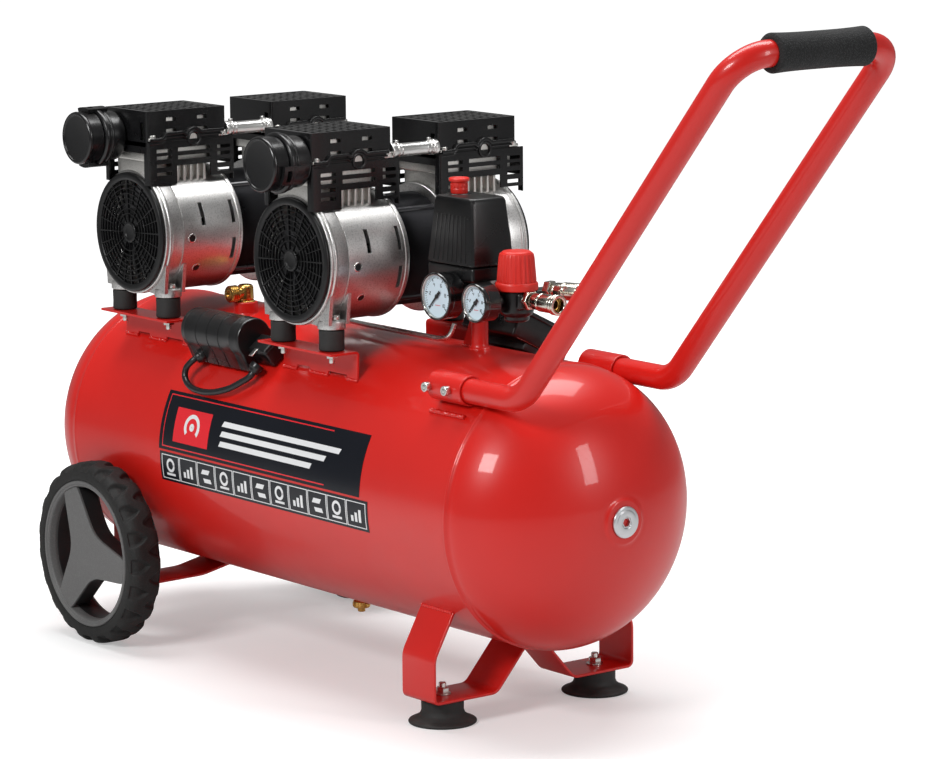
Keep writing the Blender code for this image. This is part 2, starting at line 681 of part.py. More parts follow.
def check_valve():
    """Brass non-return valve on a red boss, with its capped side branch towards -Y."""
    x, y = VALVE_AT
    base = TANK_Z + math.sqrt(TANK_R ** 2 - (abs(y) - 13) ** 2) + 0.3
    profile = [(0, 388), (8, 388), (9, 386), (9, 372), (11.5, 371), (11.5, base), (0, base)]
    valve = lathe("check_valve", profile, (x, y, 0), "+z", "brass", steps=16)
    branch = [(0, 22), (9.2, 22), (9.2, 12), (6.5, 11), (6.5, 0), (0, 0)]
    combine(valve, "UNION", lathe("valve_branch", branch, (x, y, 379), "-y", steps=16))


def capacitor_section():
    """Section of the capacitor case: round on top, with a flat base along the tank's shoulder."""
    y, z = CAPACITOR_AT
    slope = math.degrees(math.atan2(z - TANK_Z, y))
    top = arc((y, z), CAPACITOR_R, slope - 100, slope + 100, 10)
    tangent = math.radians(slope + 90)
    away = Vector((math.cos(math.radians(slope)), math.sin(math.radians(slope))))
    across = Vector((math.cos(tangent), math.sin(tangent)))
    foot = Vector((0, TANK_Z)) + away * (TANK_R + 0.6)
    return top + [tuple(foot + across * 26), tuple(foot - across * 26)]


def shoulder_box(name, x_range, tilt, half_width, heights, finish=None, bevel=0.0):
    """A box that sits square on the tank's shoulder, at an angle from the tank's top."""
    turn = Matrix.Rotation(math.radians(-tilt), 4, "X")
    lean = math.radians(tilt)
    away = Vector((0, math.sin(lean), math.cos(lean)))
    centre = Vector((0, 0, TANK_Z)) + away * (TANK_R + (heights[0] + heights[1]) / 2)
    centre.x = (x_range[0] + x_range[1]) / 2
    half = Vector(((x_range[1] - x_range[0]) / 2, half_width, (heights[1] - heights[0]) / 2))
    return box(name, centre - half, centre + half, finish, bevel=bevel, turn=turn)


def capacitor_case():
    """Capacitor case on the near shoulder, with the lead's connector at its front end."""
    low, high = CAPACITOR_X
    case = flat_outline("capacitor_case", [capacitor_section()], "x", low, high, "black_plastic")
    combine(case, "UNION", shoulder_box("connector", CONNECTOR_X, -38.0, 12.0, (1.5, 24.0)))


def terminal_box():
    """Electrical box on the tank's far shoulder, held off the tank by a narrower foot."""
    case = shoulder_box("terminal_box", TERMINAL_X, TERMINAL_TILT, 38.5, (9.0, 41.0),
                        "black_plastic", 2.5)
    low, high = TERMINAL_X
    foot = shoulder_box("terminal_foot", (low + 12, high - 4), TERMINAL_TILT, 16.0, (1.4, 12.0))
    combine(case, "UNION", foot)


def capacitor_lead():
    """Short lead from the capacitor case, down over the tank and back up to its connector."""
    route = [(-125, -115.6, 323), (-128, -123, 319), (-134, -128, 310), (-131, -131, 299),
             (-113, -134, 292), (-84, -134, 291.5), (-56, -130, 298), (-37, -123, 308),
             (-29, -119, 314), (-27, -113.5, 322)]
    tube("capacitor_lead", smooth_route(route, 2), LEAD_R, "black_rubber", resolution=2)


def smooth_route(points, steps):
    """Catmull-Rom curve through hand-placed points."""
    points = [Vector(point) for point in points]
    padded = [points[0] * 2 - points[1]] + points + [points[-1] * 2 - points[-2]]
    route = []
    for a, b, c, d in zip(padded, padded[1:], padded[2:], padded[3:]):
        for i in range(steps):
            t = i / steps
            route.append(b + (c - a) * t / 2 + (a * 2 - b * 5 + c * 4 - d) * t * t / 2
                         + (b * 3 - a - c * 3 + d) * t ** 3 / 2)
    return route + [points[-1]]


def build():
    tank()
    plug()
    drain_tap()
    front_strap()
    wheel_strap()
    feet()
    wheel("wheel_near", -1)
    wheel("wheel_far", 1)
    handle()
    for unit in UNIT_X:
        for end in SIDES:
            crankcase(unit, end)
            grille(unit, end)
            head(unit, end)
            buffers_and_bracket(unit, end)
        stator(unit)
        rotor(unit)
        intake_filter(unit)
        transfer_pipe(unit)
    outlet_riser()
    manifold()
    switch()
    for name in GAUGES:
        gauge(name)
    regulator_knob()
    for name in COUPLINGS:
        coupling_sleeve(name)
    check_valve()
    capacitor_case()
    terminal_box()
    capacitor_lead()


clear_scene()
PARTS = collection("air_compressor")
CUTTERS = collection("cutters")
ROOT = axis_empty("machine", (TANK_X, 0, 0))
build()
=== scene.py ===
"""Looks of a twin-motor oil-free air compressor on a wheeled red tank.

Every piece is worked out in millimetres from the tank's middle, with z from the floor,
+x towards the handle and -y towards the gauges, and is moved into the frame when it is made.
"""

import logging
import math
from dataclasses import dataclass, field
from enum import Enum
from typing import Callable, Iterable, Sequence

import bmesh
import bpy
import numpy as np
from mathutils import Matrix, Vector

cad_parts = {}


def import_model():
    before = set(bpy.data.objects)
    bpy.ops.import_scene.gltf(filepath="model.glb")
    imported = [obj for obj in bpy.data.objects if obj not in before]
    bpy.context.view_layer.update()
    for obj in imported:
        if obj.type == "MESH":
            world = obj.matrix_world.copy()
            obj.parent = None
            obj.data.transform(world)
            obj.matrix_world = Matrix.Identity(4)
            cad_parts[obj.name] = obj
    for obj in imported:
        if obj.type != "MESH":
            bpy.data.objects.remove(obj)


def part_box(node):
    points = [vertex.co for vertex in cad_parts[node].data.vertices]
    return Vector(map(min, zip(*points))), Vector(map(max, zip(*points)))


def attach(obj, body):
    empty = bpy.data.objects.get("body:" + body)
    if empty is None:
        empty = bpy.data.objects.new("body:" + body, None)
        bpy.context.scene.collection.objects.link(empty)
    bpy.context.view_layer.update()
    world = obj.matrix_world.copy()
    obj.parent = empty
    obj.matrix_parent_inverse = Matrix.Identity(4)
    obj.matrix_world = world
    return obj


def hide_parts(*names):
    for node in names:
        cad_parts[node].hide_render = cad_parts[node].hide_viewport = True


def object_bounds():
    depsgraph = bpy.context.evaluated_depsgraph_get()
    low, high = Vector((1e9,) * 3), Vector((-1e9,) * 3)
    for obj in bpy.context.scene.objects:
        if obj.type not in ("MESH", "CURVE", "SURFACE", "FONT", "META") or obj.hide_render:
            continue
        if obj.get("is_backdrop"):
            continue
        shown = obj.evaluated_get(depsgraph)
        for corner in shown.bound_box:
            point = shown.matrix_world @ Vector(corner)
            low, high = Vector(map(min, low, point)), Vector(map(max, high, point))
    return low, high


LOG = logging.getLogger("compressor")
MM = 0.001
Point = Sequence[float]


class Axis(Enum):
    """Directions that turned pieces point along."""

    X = (1.0, 0.0, 0.0)
    Y = (0.0, 1.0, 0.0)
    Z = (0.0, 0.0, 1.0)
    BACK = (-1.0, 0.0, 0.0)
    NEAR = (0.0, -1.0, 0.0)
    DOWN = (0.0, 0.0, -1.0)


class End(Enum):
    """The two sides of the machine: the gauges are on the near one."""

    NEAR = -1
    FAR = 1

    @property
    def label(self) -> str:
        """The word used in the names of nodes."""
        return self.name.lower()


# ---------------------------------------------------------------- arrays into meshes

def unit(vectors: np.ndarray) -> np.ndarray:
    """Each vector divided by its own length."""
    return vectors / np.maximum(np.linalg.norm(vectors, axis=-1, keepdims=True), 1e-12)


def grid_faces(rows: int, columns: int, wrap_rows: bool = False, wrap_columns: bool = False) -> np.ndarray:
    """Quads that join neighbours on a grid of points.

    Args:
        rows: number of rows of points.
        columns: number of points in a row.
        wrap_rows: whether the last row joins the first.
        wrap_columns: whether a row's last point joins its first.

    Returns:
        An array of four indices a face.
    """
    i = np.arange(rows if wrap_rows else rows - 1)[:, None]
    j = np.arange(columns if wrap_columns else columns - 1)[None, :]
    i_next, j_next = (i + 1) % rows, (j + 1) % columns
    quads = np.stack(np.broadcast_arrays(i * columns + j, i_next * columns + j,
                                         i_next * columns + j_next, i * columns + j_next), -1)
    return quads.reshape(-1, 4)


def rounded(corners: Iterable[Point], radius: float, steps: int = 5, closed: bool = False) -> np.ndarray:
    """A line of points whose corners are rounded.

    Each corner is replaced by a quadratic curve that starts and ends `radius` away from it,
    or at the middle of a shorter side: (1-t)^2 A + 2t(1-t) C + t^2 B.

    Args:
        corners: the line's corners, in two or three dimensions.
        radius: how far from a corner the rounding starts.
        steps: segments in each rounded corner.
        closed: whether the line comes back to its start.

    Returns:
        The points of the rounded line.
    """
    line = np.asarray(list(corners), float)
    before, after = np.roll(line, 1, 0), np.roll(line, -1, 0)
    t = np.linspace(0, 1, steps + 1)[None, :, None]
    reach_in = np.minimum(radius, np.linalg.norm(before - line, axis=1) * 0.45)[:, None]
    reach_out = np.minimum(radius, np.linalg.norm(after - line, axis=1) * 0.45)[:, None]
    start = (line + unit(before - line) * reach_in)[:, None]
    end = (line + unit(after - line) * reach_out)[:, None]
    curve = (1 - t) ** 2 * start + 2 * t * (1 - t) * line[:, None] + t ** 2 * end
    if closed:
        return curve.reshape(-1, line.shape[1])
    inner = curve[1:-1].reshape(-1, line.shape[1])
    return np.concatenate([line[:1], inner, line[-1:]])


def smooth_line(points: Iterable[Point], steps: int) -> np.ndarray:
    """A Catmull-Rom curve through given points.

    Args:
        points: the points that the curve goes through.
        steps: segments between two of them.

    Returns:
        The curve's points.
    """
    p = np.asarray(list(points), float)
    p = np.concatenate([2 * p[:1] - p[1:2], p, 2 * p[-1:] - p[-2:-1]])
    a, b, c, d = (p[i:len(p) - 3 + i][:, None] for i in range(4))
    t = (np.arange(steps) / steps)[None, :, None]
    curve = (b + (c - a) * t / 2
             + (2 * a - 5 * b + 4 * c - d) * t ** 2 / 2 + (3 * b - a - 3 * c + d) * t ** 3 / 2)
    return np.concatenate([curve.reshape(-1, p.shape[1]), p[-2:-1]])


def circle(radius: float, steps: int = 24) -> np.ndarray:
    """The points of a circle in its own plane."""
    turn = np.arange(steps) / steps * 2 * np.pi
    return np.stack([np.cos(turn), np.sin(turn)], -1) * radius


def slab(half_width: float, half_height: float, radius: float = 0.8) -> np.ndarray:
    """A rounded rectangle to carry along a path."""
    corners = [(-half_width, -half_height), (half_width, -half_height),
               (half_width, half_height), (-half_width, half_height)]
    return rounded(corners, radius, 3, closed=True)


def breaks(*spans: tuple[float, float], low: float, high: float, step: float = 1e9) -> np.ndarray:
    """Where a sheet is divided, so that every opening starts and ends on a line.

    Args:
        spans: low and high edge of each opening.
        low: the sheet's first edge.
        high: the sheet's last edge.
        step: the widest cell allowed.

    Returns:
        The sorted positions.
    """
    marks = np.unique(np.round([low, high] + [value for span in spans for value in span], 4))
    parts = [np.linspace(a, b, max(1, math.ceil((b - a) / step)) + 1)[:-1] for a, b in zip(marks, marks[1:])]
    return np.concatenate(parts + [marks[-1:]])


class Sketch:
    """Closed surfaces that are gathered into one piece."""

    def __init__(self) -> None:
        """Starts with nothing in it."""
        self.points: list[np.ndarray] = []
        self.faces: list[np.ndarray] = []
        self.count = 0

    def add(self, points: np.ndarray, *faces: np.ndarray) -> "Sketch":
        """Adds one surface.

        Args:
            points: its points, in any shape of array that ends in x, y, z.
            faces: arrays of indices, each with its own number of corners a face.

        Returns:
            The sketch, so that calls can follow one another.
        """
        flat = np.asarray(points, float).reshape(-1, 3)
        self.points.append(flat)
        self.faces += [np.asarray(part, int) + self.count for part in faces if len(part)]
        self.count += len(flat)
        return self

    def turned(self, profile: Iterable[Point], at: Point, axis: Axis | Point, steps: int = 48,
               ring: bool = False, start: float = 0.0) -> "Sketch":
        """A profile of (radius, height) carried round an axis.

        A point is at + axis * height + (e1 cos a + e2 sin a) * radius, for a from 0 to a full turn.

        Args:
            profile: the profile's points; without `ring` they start and end on the axis.
            at: a point on the axis, where the height is zero.
            axis: the axis's direction.
            steps: sides of the turned piece.
            ring: whether the profile closes on itself.
            start: angle of the first side, in degrees.

        Returns:
            The sketch.
        """
        lathe = np.asarray(list(profile), float)
        along = unit(np.asarray(axis.value if isinstance(axis, Axis) else axis, float))
        helper = np.array((0.0, 0.0, 1.0)) if abs(along[2]) < 0.9 else np.array((1.0, 0.0, 0.0))
        e1 = unit(np.cross(along, helper))
        e2 = np.cross(along, e1)
        turn = np.radians(start) + np.arange(steps) / steps * 2 * np.pi
        spoke = np.cos(turn)[:, None] * e1 + np.sin(turn)[:, None] * e2
        points = np.asarray(at) + lathe[:, None, 1:2] * along + lathe[:, None, 0:1] * spoke[None]
        return self.add(points, grid_faces(len(lathe), steps, wrap_rows=ring, wrap_columns=True))

    def swept(self, path: np.ndarray, section: np.ndarray, up: Point = (0, 0, 1),
              scale: np.ndarray | None = None, closed: bool = False) -> "Sketch":
        """A section carried along a path, with flat ends.

        The section's first axis is tangent x up and its second is square to both.

        Args:
            path: the path's points.
            section: the section's points, in its own plane.
            up: a direction that the path never takes.
            scale: the section's size at each point of the path.
            closed: whether the path comes back to its start.

        Returns:
            The sketch.
        """
        path = np.asarray(path, float)
        if closed:
            tangent = unit(np.roll(path, -1, 0) - np.roll(path, 1, 0))
        else:
            tangent = unit(np.gradient(path, axis=0))
        across = unit(np.cross(tangent, np.asarray(up, float)))
        lift = np.cross(across, tangent)
        size = np.ones(len(path)) if scale is None else np.asarray(scale, float)
        shape = section[None] * size[:, None, None]
        points = path[:, None] + shape[..., :1] * across[:, None] + shape[..., 1:] * lift[:, None]
        rows, columns = len(path), len(section)
        if closed:
            return self.add(points, grid_faces(rows, columns, wrap_rows=True, wrap_columns=True))
        first = np.arange(columns)[None]
        return self.add(points, grid_faces(rows, columns, wrap_columns=True), first,
                        first[:, ::-1] + (rows - 1) * columns)

    def prism(self, outline: Iterable[Point], axis: str, low: float, high: float) -> "Sketch":
        """A flat outline given a thickness.

        Args:
            outline: corners in the plane square to the axis: (y, z), (x, z) or (x, y).
            axis: "x", "y" or "z".
            low: where it starts along the axis.
            high: where it ends.

        Returns:
            The sketch.
        """
        flat = np.asarray(list(outline), float)
        order = {"x": (2, 0, 1), "y": (0, 2, 1), "z": (0, 1, 2)}[axis]
        layers = [np.column_stack([flat, np.full(len(flat), level)])[:, order] for level in (low, high)]
        first = np.arange(len(flat))[None]
        return self.add(np.stack(layers), grid_faces(2, len(flat), wrap_columns=True), first,
                        first[:, ::-1] + len(flat))

    def block(self, low: Point, high: Point, radius: float = 1.0, steps: int = 3,
              turn: Matrix | None = None) -> "Sketch":
        """A box with rounded edges: a small ball whose eighths are moved out to the box's corners.

        Args:
            low: lowest corner.
            high: highest corner.
            radius: the edges' radius.
            steps: segments in a rounded edge.
            turn: a rotation about the box's own middle.

        Returns:
            The sketch.
        """
        low, high = np.minimum(low, high), np.maximum(low, high)
        half, middle = (high - low) / 2, (high + low) / 2
        radius = min(radius, *(half * 0.98))
        quarter = np.linspace(0, np.pi / 2, steps + 1)
        around = np.concatenate([quarter + np.pi / 2 * k for k in range(4)])
        tilt = np.concatenate([quarter - np.pi / 2, quarter])
        sign_x = np.repeat([1, -1, -1, 1], steps + 1)
        sign_y = np.repeat([1, 1, -1, -1], steps + 1)
        sign_z = np.repeat([-1, 1], steps + 1)
        a, t = np.meshgrid(around, tilt)
        normal = np.stack([np.cos(t) * np.cos(a), np.cos(t) * np.sin(a), np.sin(t)], -1)
        signs = np.stack(np.broadcast_arrays(sign_x[None], sign_y[None], sign_z[:, None]), -1)
        points = signs * (half - radius) + radius * normal
        if turn is not None:
            points = points @ np.array(turn.to_3x3()).T
        rows, columns = points.shape[:2]
        cap = (np.arange(4) * (steps + 1))[None]
        return self.add(points + middle, grid_faces(rows, columns, wrap_columns=True), cap,
                        cap[:, ::-1] + (rows - 1) * columns)

    def pierced(self, us: np.ndarray, vs: np.ndarray, solid: np.ndarray,
                place: Callable[[np.ndarray, np.ndarray, np.ndarray], np.ndarray],
                wrap: bool = False) -> "Sketch":
        """A sheet with openings, one closed surface.

        The sheet is a grid of cells, each either plate or opening. A plate cell has an outer
        and an inner face, and a wall wherever its neighbour is an opening or the sheet ends.

        Args:
            us: the grid's lines in its first direction.
            vs: the grid's lines in its second direction.
            solid: which cells are plate.
            place: gives points for arrays u, v and w, where w is 0 inside and 1 outside.
            wrap: whether the last column of cells joins the first line again.

        Returns:
            The sketch.
        """
        u, v = np.meshgrid(us, vs, indexing="ij")
        rows, columns = u.shape
        skin = u.size
        points = np.stack([place(u, v, np.zeros_like(u)), place(u, v, np.ones_like(u))])
        i, j = np.nonzero(solid)
        i_next = (i + 1) % rows
        corner = [i * columns + j, i_next * columns + j, i_next * columns + j + 1, i * columns + j + 1]
        faces = [np.stack(corner, -1) + skin, np.stack(corner[::-1], -1)]
        if wrap:
            before, after = np.roll(solid, 1, 0), np.roll(solid, -1, 0)
        else:
            padded = np.pad(solid, ((1, 1), (0, 0)))
            before, after = padded[:-2], padded[2:]
        padded = np.pad(solid, ((0, 0), (1, 1)))
        below, above = padded[:, :-2], padded[:, 2:]
        for neighbour, (p, q) in zip((before, above, after, below), ((0, 3), (3, 2), (2, 1), (1, 0))):
            open_side = ~neighbour[i, j]
            a, b = corner[p][open_side], corner[q][open_side]
            faces.append(np.stack([a, b, b + skin, a + skin], -1))
        used, index = np.unique(np.concatenate([part.ravel() for part in faces]), return_inverse=True)
        index = index.reshape(-1, 4)
        return self.add(points.reshape(-1, 3)[used], index)


@dataclass
class Workshop:
    """Turns sketches into dressed pieces that ride on the frame's bodies."""

    tank_x: float
    finishes: dict = field(default_factory=dict)

    def material(self, finish: "Finish") -> bpy.types.Material:
        """The finish's material, made once."""
        if finish.name not in self.finishes:
            self.finishes[finish.name] = finish.material()
        return self.finishes[finish.name]

    def make(self, name: str, sketch: Sketch, finish: "Finish", body: str = "frame",
             replaces: Sequence[str] = (), bevel: float = 0.0, smooth: float = 38.0,
             segments: int = 2) -> bpy.types.Object:
        """Makes one piece from a sketch.

        Args:
            name: the piece's name.
            sketch: its surfaces, in millimetres from the tank's middle.
            finish: what it is made of.
            body: the body that it rides on.
            replaces: CAD nodes that it stands for.
            bevel: width of the softened edges, in millimetres.
            smooth: widest angle that is still shaded smooth, in degrees.
            segments: segments in a softened edge.

        Returns:
            The new object.
        """
        points = np.concatenate(sketch.points)
        points[:, 0] += self.tank_x
        mesh = bpy.data.meshes.new(name)
        faces = [row for part in sketch.faces for row in part.tolist()]
        mesh.from_pydata((points * MM).tolist(), [], faces)
        shell = bmesh.new()
        shell.from_mesh(mesh)
        bmesh.ops.remove_doubles(shell, verts=shell.verts, dist=0.000004)
        bmesh.ops.dissolve_degenerate(shell, edges=shell.edges, dist=0.000004)
        bmesh.ops.recalc_face_normals(shell, faces=shell.faces)
        shell.to_mesh(mesh)
        shell.free()
        mesh.shade_smooth()
        mesh.set_sharp_from_angle(angle=math.radians(smooth))
        piece = bpy.data.objects.new(name, mesh)
        bpy.context.scene.collection.objects.link(piece)
        if bevel:
            soften = piece.modifiers.new("Soft edges", "BEVEL")
            soften.width = bevel * MM
            soften.segments = segments
            soften.limit_method = "ANGLE"
            soften.angle_limit = math.radians(smooth)
            soften.harden_normals = True
        mesh.materials.append(self.material(finish))
        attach(piece, body)
        if replaces:
            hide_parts(*replaces)
        LOG.info("%s on %s", name, body)
        return piece


# ---------------------------------------------------------------- finishes

@dataclass
class Board:
    """A node tree being wired."""

    tree: bpy.types.NodeTree

    def add(self, kind: str, inputs: dict | None = None, **settings) -> bpy.types.Node:
        """Adds a node.

        Args:
            kind: the node's type name.
            inputs: values, or sockets to link, by the input's name or number.
            settings: the node's own settings.

        Returns:
            The node.
        """
        node = self.tree.nodes.new(kind)
        for key, value in settings.items():
            setattr(node, key, value)
        for key, value in (inputs or {}).items():
            if isinstance(value, bpy.types.NodeSocket):
                self.tree.links.new(value, node.inputs[key])
            else:
                node.inputs[key].default_value = value
        return node

    def math(self, operation: str, first, second=0.0, clamp: bool = False) -> bpy.types.NodeSocket:
        """One sum of two numbers or sockets.

        Args:
            operation: the Math node's operation.
            first: a number or a socket.
            second: a number or a socket.
            clamp: whether the answer stays from 0 to 1.

        Returns:
            The answer's socket.
        """
        return self.add("ShaderNodeMath", {0: first, 1: second}, operation=operation,
                        use_clamp=clamp).outputs[0]

    def span(self, value, low: float, high: float, to_low: float = 0.0, to_high: float = 1.0):
        """A value moved from one range to another and kept inside it."""
        return self.add("ShaderNodeMapRange", {"Value": value, "From Min": low, "From Max": high,
                                               "To Min": to_low, "To Max": to_high}).outputs[0]

    def mix(self, factor, first, second) -> bpy.types.NodeSocket:
        """Two colours mixed by a factor."""
        node = self.add("ShaderNodeMix", data_type="RGBA")
        for socket, value in ((node.inputs[0], factor), (node.inputs[6], first), (node.inputs[7], second)):
            if isinstance(value, bpy.types.NodeSocket):
                self.tree.links.new(value, socket)
            elif socket.type == "RGBA":
                socket.default_value = (*value[:3], 1.0)
            else:
                socket.default_value = value
        return node.outputs[2]

    def group(self, name: str, **inputs) -> bpy.types.Node:
        """Places a shared effect with its own values."""
        return self.add("ShaderNodeGroup", {key.replace("_", " "): value for key, value in inputs.items()},
                        node_tree=Effects.tree(name))


class Effects:
    """Node groups that several finishes share, each built once."""

    @staticmethod
    def tree(name: str) -> bpy.types.NodeTree:
        """The group of that name."""
        return bpy.data.node_groups.get(name) or getattr(Effects, name)()

    @staticmethod
    def start(name: str, inputs: dict, outputs: dict) -> tuple[Board, bpy.types.Node, bpy.types.Node]:
        """Starts a group.

        Args:
            name: the group's name.
            inputs: socket types and first values by name.
            outputs: socket types by name.

        Returns:
            The board, the group's input node and its output node.
        """
        tree = bpy.data.node_groups.new(name, "ShaderNodeTree")
        for key, (kind, value) in inputs.items():
            socket = tree.interface.new_socket(key, in_out="INPUT", socket_type=kind)
            if value is not None:
                socket.default_value = value
        for key, kind in outputs.items():
            tree.interface.new_socket(key, in_out="OUTPUT", socket_type=kind)
        board = Board(tree)
        return board, board.add("NodeGroupInput"), board.add("NodeGroupOutput")

    @staticmethod
    def tone() -> bpy.types.NodeTree:
        """Colour that drifts darker and lighter from place to place.

        The colour is multiplied by 1 + amount * (noise - 0.5) * 2.
        """
        board, given, out = Effects.start(
            "tone", {"Vector": ("NodeSocketVector", None), "Color": ("NodeSocketColor", (0.5, 0.5, 0.5, 1)),
                     "Scale": ("NodeSocketFloat", 10.0), "Amount": ("NodeSocketFloat", 0.1)},
            {"Color": "NodeSocketColor"})
        noise = board.add("ShaderNodeTexNoise", {"Vector": given.outputs["Vector"],
                                                 "Scale": given.outputs["Scale"], "Detail": 4.0})
        drift = board.math("MULTIPLY", board.math("SUBTRACT", noise.outputs[0], 0.5), 2.0)
        factor = board.math("ADD", board.math("MULTIPLY", drift, given.outputs["Amount"]), 1.0)
        tint = board.add("ShaderNodeVectorMath", {0: given.outputs["Color"]}, operation="SCALE")
        board.tree.links.new(factor, tint.inputs["Scale"])
        board.tree.links.new(tint.outputs[0], out.inputs["Color"])
        return board.tree

    @staticmethod
    def smudge() -> bpy.types.NodeTree:
        """Roughness with soft handling marks: base + amount * stretched noise."""
        board, given, out = Effects.start(
            "smudge", {"Vector": ("NodeSocketVector", None), "Scale": ("NodeSocketFloat", 8.0),
                       "Base": ("NodeSocketFloat", 0.4), "Amount": ("NodeSocketFloat", 0.1)},
            {"Roughness": "NodeSocketFloat"})
        noise = board.add("ShaderNodeTexNoise", {"Vector": given.outputs["Vector"],
                                                 "Scale": given.outputs["Scale"], "Detail": 6.0,
                                                 "Distortion": 0.6})
        mark = board.span(noise.outputs[0], 0.35, 0.7)
        rough = board.math("ADD", given.outputs["Base"],
                           board.math("MULTIPLY", mark, given.outputs["Amount"]))
        board.tree.links.new(rough, out.inputs["Roughness"])
        return board.tree

    @staticmethod
    def grain() -> bpy.types.NodeTree:
        """Fine surface texture as a normal, from noise at the grain's own scale."""
        board, given, out = Effects.start(
            "grain", {"Vector": ("NodeSocketVector", None), "Scale": ("NodeSocketFloat", 900.0),
                      "Strength": ("NodeSocketFloat", 0.2), "Distance": ("NodeSocketFloat", 0.0002)},
            {"Normal": "NodeSocketVector"})
        noise = board.add("ShaderNodeTexNoise", {"Vector": given.outputs["Vector"],
                                                 "Scale": given.outputs["Scale"], "Detail": 3.0})
        bump = board.add("ShaderNodeBump", {"Height": noise.outputs[0], "Strength": given.outputs["Strength"],
                                            "Distance": given.outputs["Distance"]})
        board.tree.links.new(bump.outputs[0], out.inputs["Normal"])
        return board.tree

    @staticmethod
    def dust() -> bpy.types.NodeTree:
        """A thin mask of settled dust: faces that look up, broken by noise."""
        board, given, out = Effects.start(
            "dust", {"Vector": ("NodeSocketVector", None), "Amount": ("NodeSocketFloat", 0.1)},
            {"Mask": "NodeSocketFloat"})
        facing = board.add("ShaderNodeSeparateXYZ", {0: board.add("ShaderNodeNewGeometry").outputs["Normal"]})
        up = board.span(facing.outputs["Z"], 0.4, 1.0)
        noise = board.add("ShaderNodeTexNoise",
                          {"Vector": given.outputs["Vector"], "Scale": 45.0, "Detail": 5.0})
        broken = board.span(noise.outputs[0], 0.35, 0.65)
        mask = board.math("MULTIPLY", board.math("MULTIPLY", up, broken), given.outputs["Amount"], clamp=True)
        board.tree.links.new(mask, out.inputs["Mask"])
        return board.tree


@dataclass(frozen=True)
class Finish:
    """A plain finish: colour that drifts a little, marked roughness and a fine grain."""

    name: str
    slot: str
    color: tuple[float, float, float]
    roughness: float
    metallic: float = 0.0
    coat: float = 0.0
    coat_roughness: float = 0.05
    drift: float = 0.08
    drift_scale: float = 14.0
    smudge: float = 0.08
    smudge_scale: float = 11.0
    grain: float = 0.12
    grain_scale: float = 900.0
    grain_depth: float = 0.0002
    dust: float = 0.0
    specular: float = 0.5

    def material(self) -> bpy.types.Material:
        """Builds the material."""
        made = bpy.data.materials.new(self.name)
        made.use_nodes = True
        board = Board(made.node_tree)
        shader = made.node_tree.nodes["Principled BSDF"]
        shader.inputs["Metallic"].default_value = self.metallic
        shader.inputs["Coat Weight"].default_value = self.coat
        shader.inputs["Coat Roughness"].default_value = self.coat_roughness
        shader.inputs["Specular IOR Level"].default_value = self.specular
        vector = board.add("ShaderNodeTexCoord").outputs["Object"]
        self.dress(board, shader, vector)
        return made

    def dress(self, board: Board, shader: bpy.types.Node, vector: bpy.types.NodeSocket) -> None:
        """Wires colour, roughness and normal.

        Args:
            board: the material's board.
            shader: its Principled BSDF.
            vector: object coordinates.
        """
        color = board.group("tone", Vector=vector, Color=(*self.color, 1.0), Scale=self.drift_scale,
                            Amount=self.drift).outputs["Color"]
        if self.dust:
            mask = board.group("dust", Vector=vector, Amount=self.dust).outputs["Mask"]
            color = board.mix(mask, color, (0.42, 0.40, 0.37))
        rough = board.group("smudge", Vector=vector, Scale=self.smudge_scale, Base=self.roughness,
                            Amount=self.smudge).outputs["Roughness"]
        normal = board.group("grain", Vector=vector, Scale=self.grain_scale, Strength=self.grain,
                             Distance=self.grain_depth).outputs["Normal"]
        for name, socket in (("Base Color", color), ("Roughness", rough), ("Normal", normal)):
            board.tree.links.new(socket, shader.inputs[name])


@dataclass(frozen=True)
class GlossPaint(Finish):
    """Sprayed gloss enamel: a faint orange peel under a clear, hard surface."""

    peel_scale: float = 170.0
    peel: float = 0.035

    def dress(self, board: Board, shader: bpy.types.Node, vector: bpy.types.NodeSocket) -> None:
        """Adds the orange peel to the plain finish; see Finish.dress for the arguments."""
        super().dress(board, shader, vector)
        peel = board.group("grain", Vector=vector, Scale=self.peel_scale, Strength=self.peel, Distance=0.0006)
        board.tree.links.new(peel.outputs["Normal"], shader.inputs["Normal"])


@dataclass(frozen=True)
class Speckled(Finish):
    """Moulded or cast surface whose fine speckle shows as colour as well as texture."""

    speck: tuple[float, float, float] = (0.2, 0.2, 0.2)
    speck_scale: float = 700.0
    speck_amount: float = 0.35

    def dress(self, board: Board, shader: bpy.types.Node, vector: bpy.types.NodeSocket) -> None:
        """Mixes in the speckle; see Finish.dress for the arguments."""
        super().dress(board, shader, vector)
        noise = board.add("ShaderNodeTexNoise", {"Vector": vector, "Scale": self.speck_scale, "Detail": 2.0})
        mask = board.math("MULTIPLY", board.span(noise.outputs[0], 0.48, 0.66), self.speck_amount)
        below = shader.inputs["Base Color"].links[0].from_socket
        board.tree.links.new(board.mix(mask, below, self.speck), shader.inputs["Base Color"])


@dataclass(frozen=True)
class Cellular(Finish):
    """Closed-cell foam: small rounded cells, with painted shade darkening the gaps between them."""

    cell_scale: float = 620.0

    def dress(self, board: Board, shader: bpy.types.Node, vector: bpy.types.NodeSocket) -> None:
        """Adds the cells and the painted shade in their gaps; see Finish.dress for the arguments."""
        super().dress(board, shader, vector)
        cells = board.add("ShaderNodeTexVoronoi", {"Vector": vector, "Scale": self.cell_scale})
        depth = board.span(cells.outputs["Distance"], 0.0, 0.6, 1.0, 0.0)
        bump = board.add("ShaderNodeBump", {"Height": depth, "Strength": 0.7, "Distance": 0.0008})
        board.tree.links.new(bump.outputs[0], shader.inputs["Normal"])
        below = shader.inputs["Base Color"].links[0].from_socket
        # The gaps between cells are mixed towards near black: painted shade in the hollows.
        painted_gap_shade = board.mix(board.span(depth, 0.1, 0.8), (0.004, 0.004, 0.0045), below)
        board.tree.links.new(painted_gap_shade, shader.inputs["Base Color"])


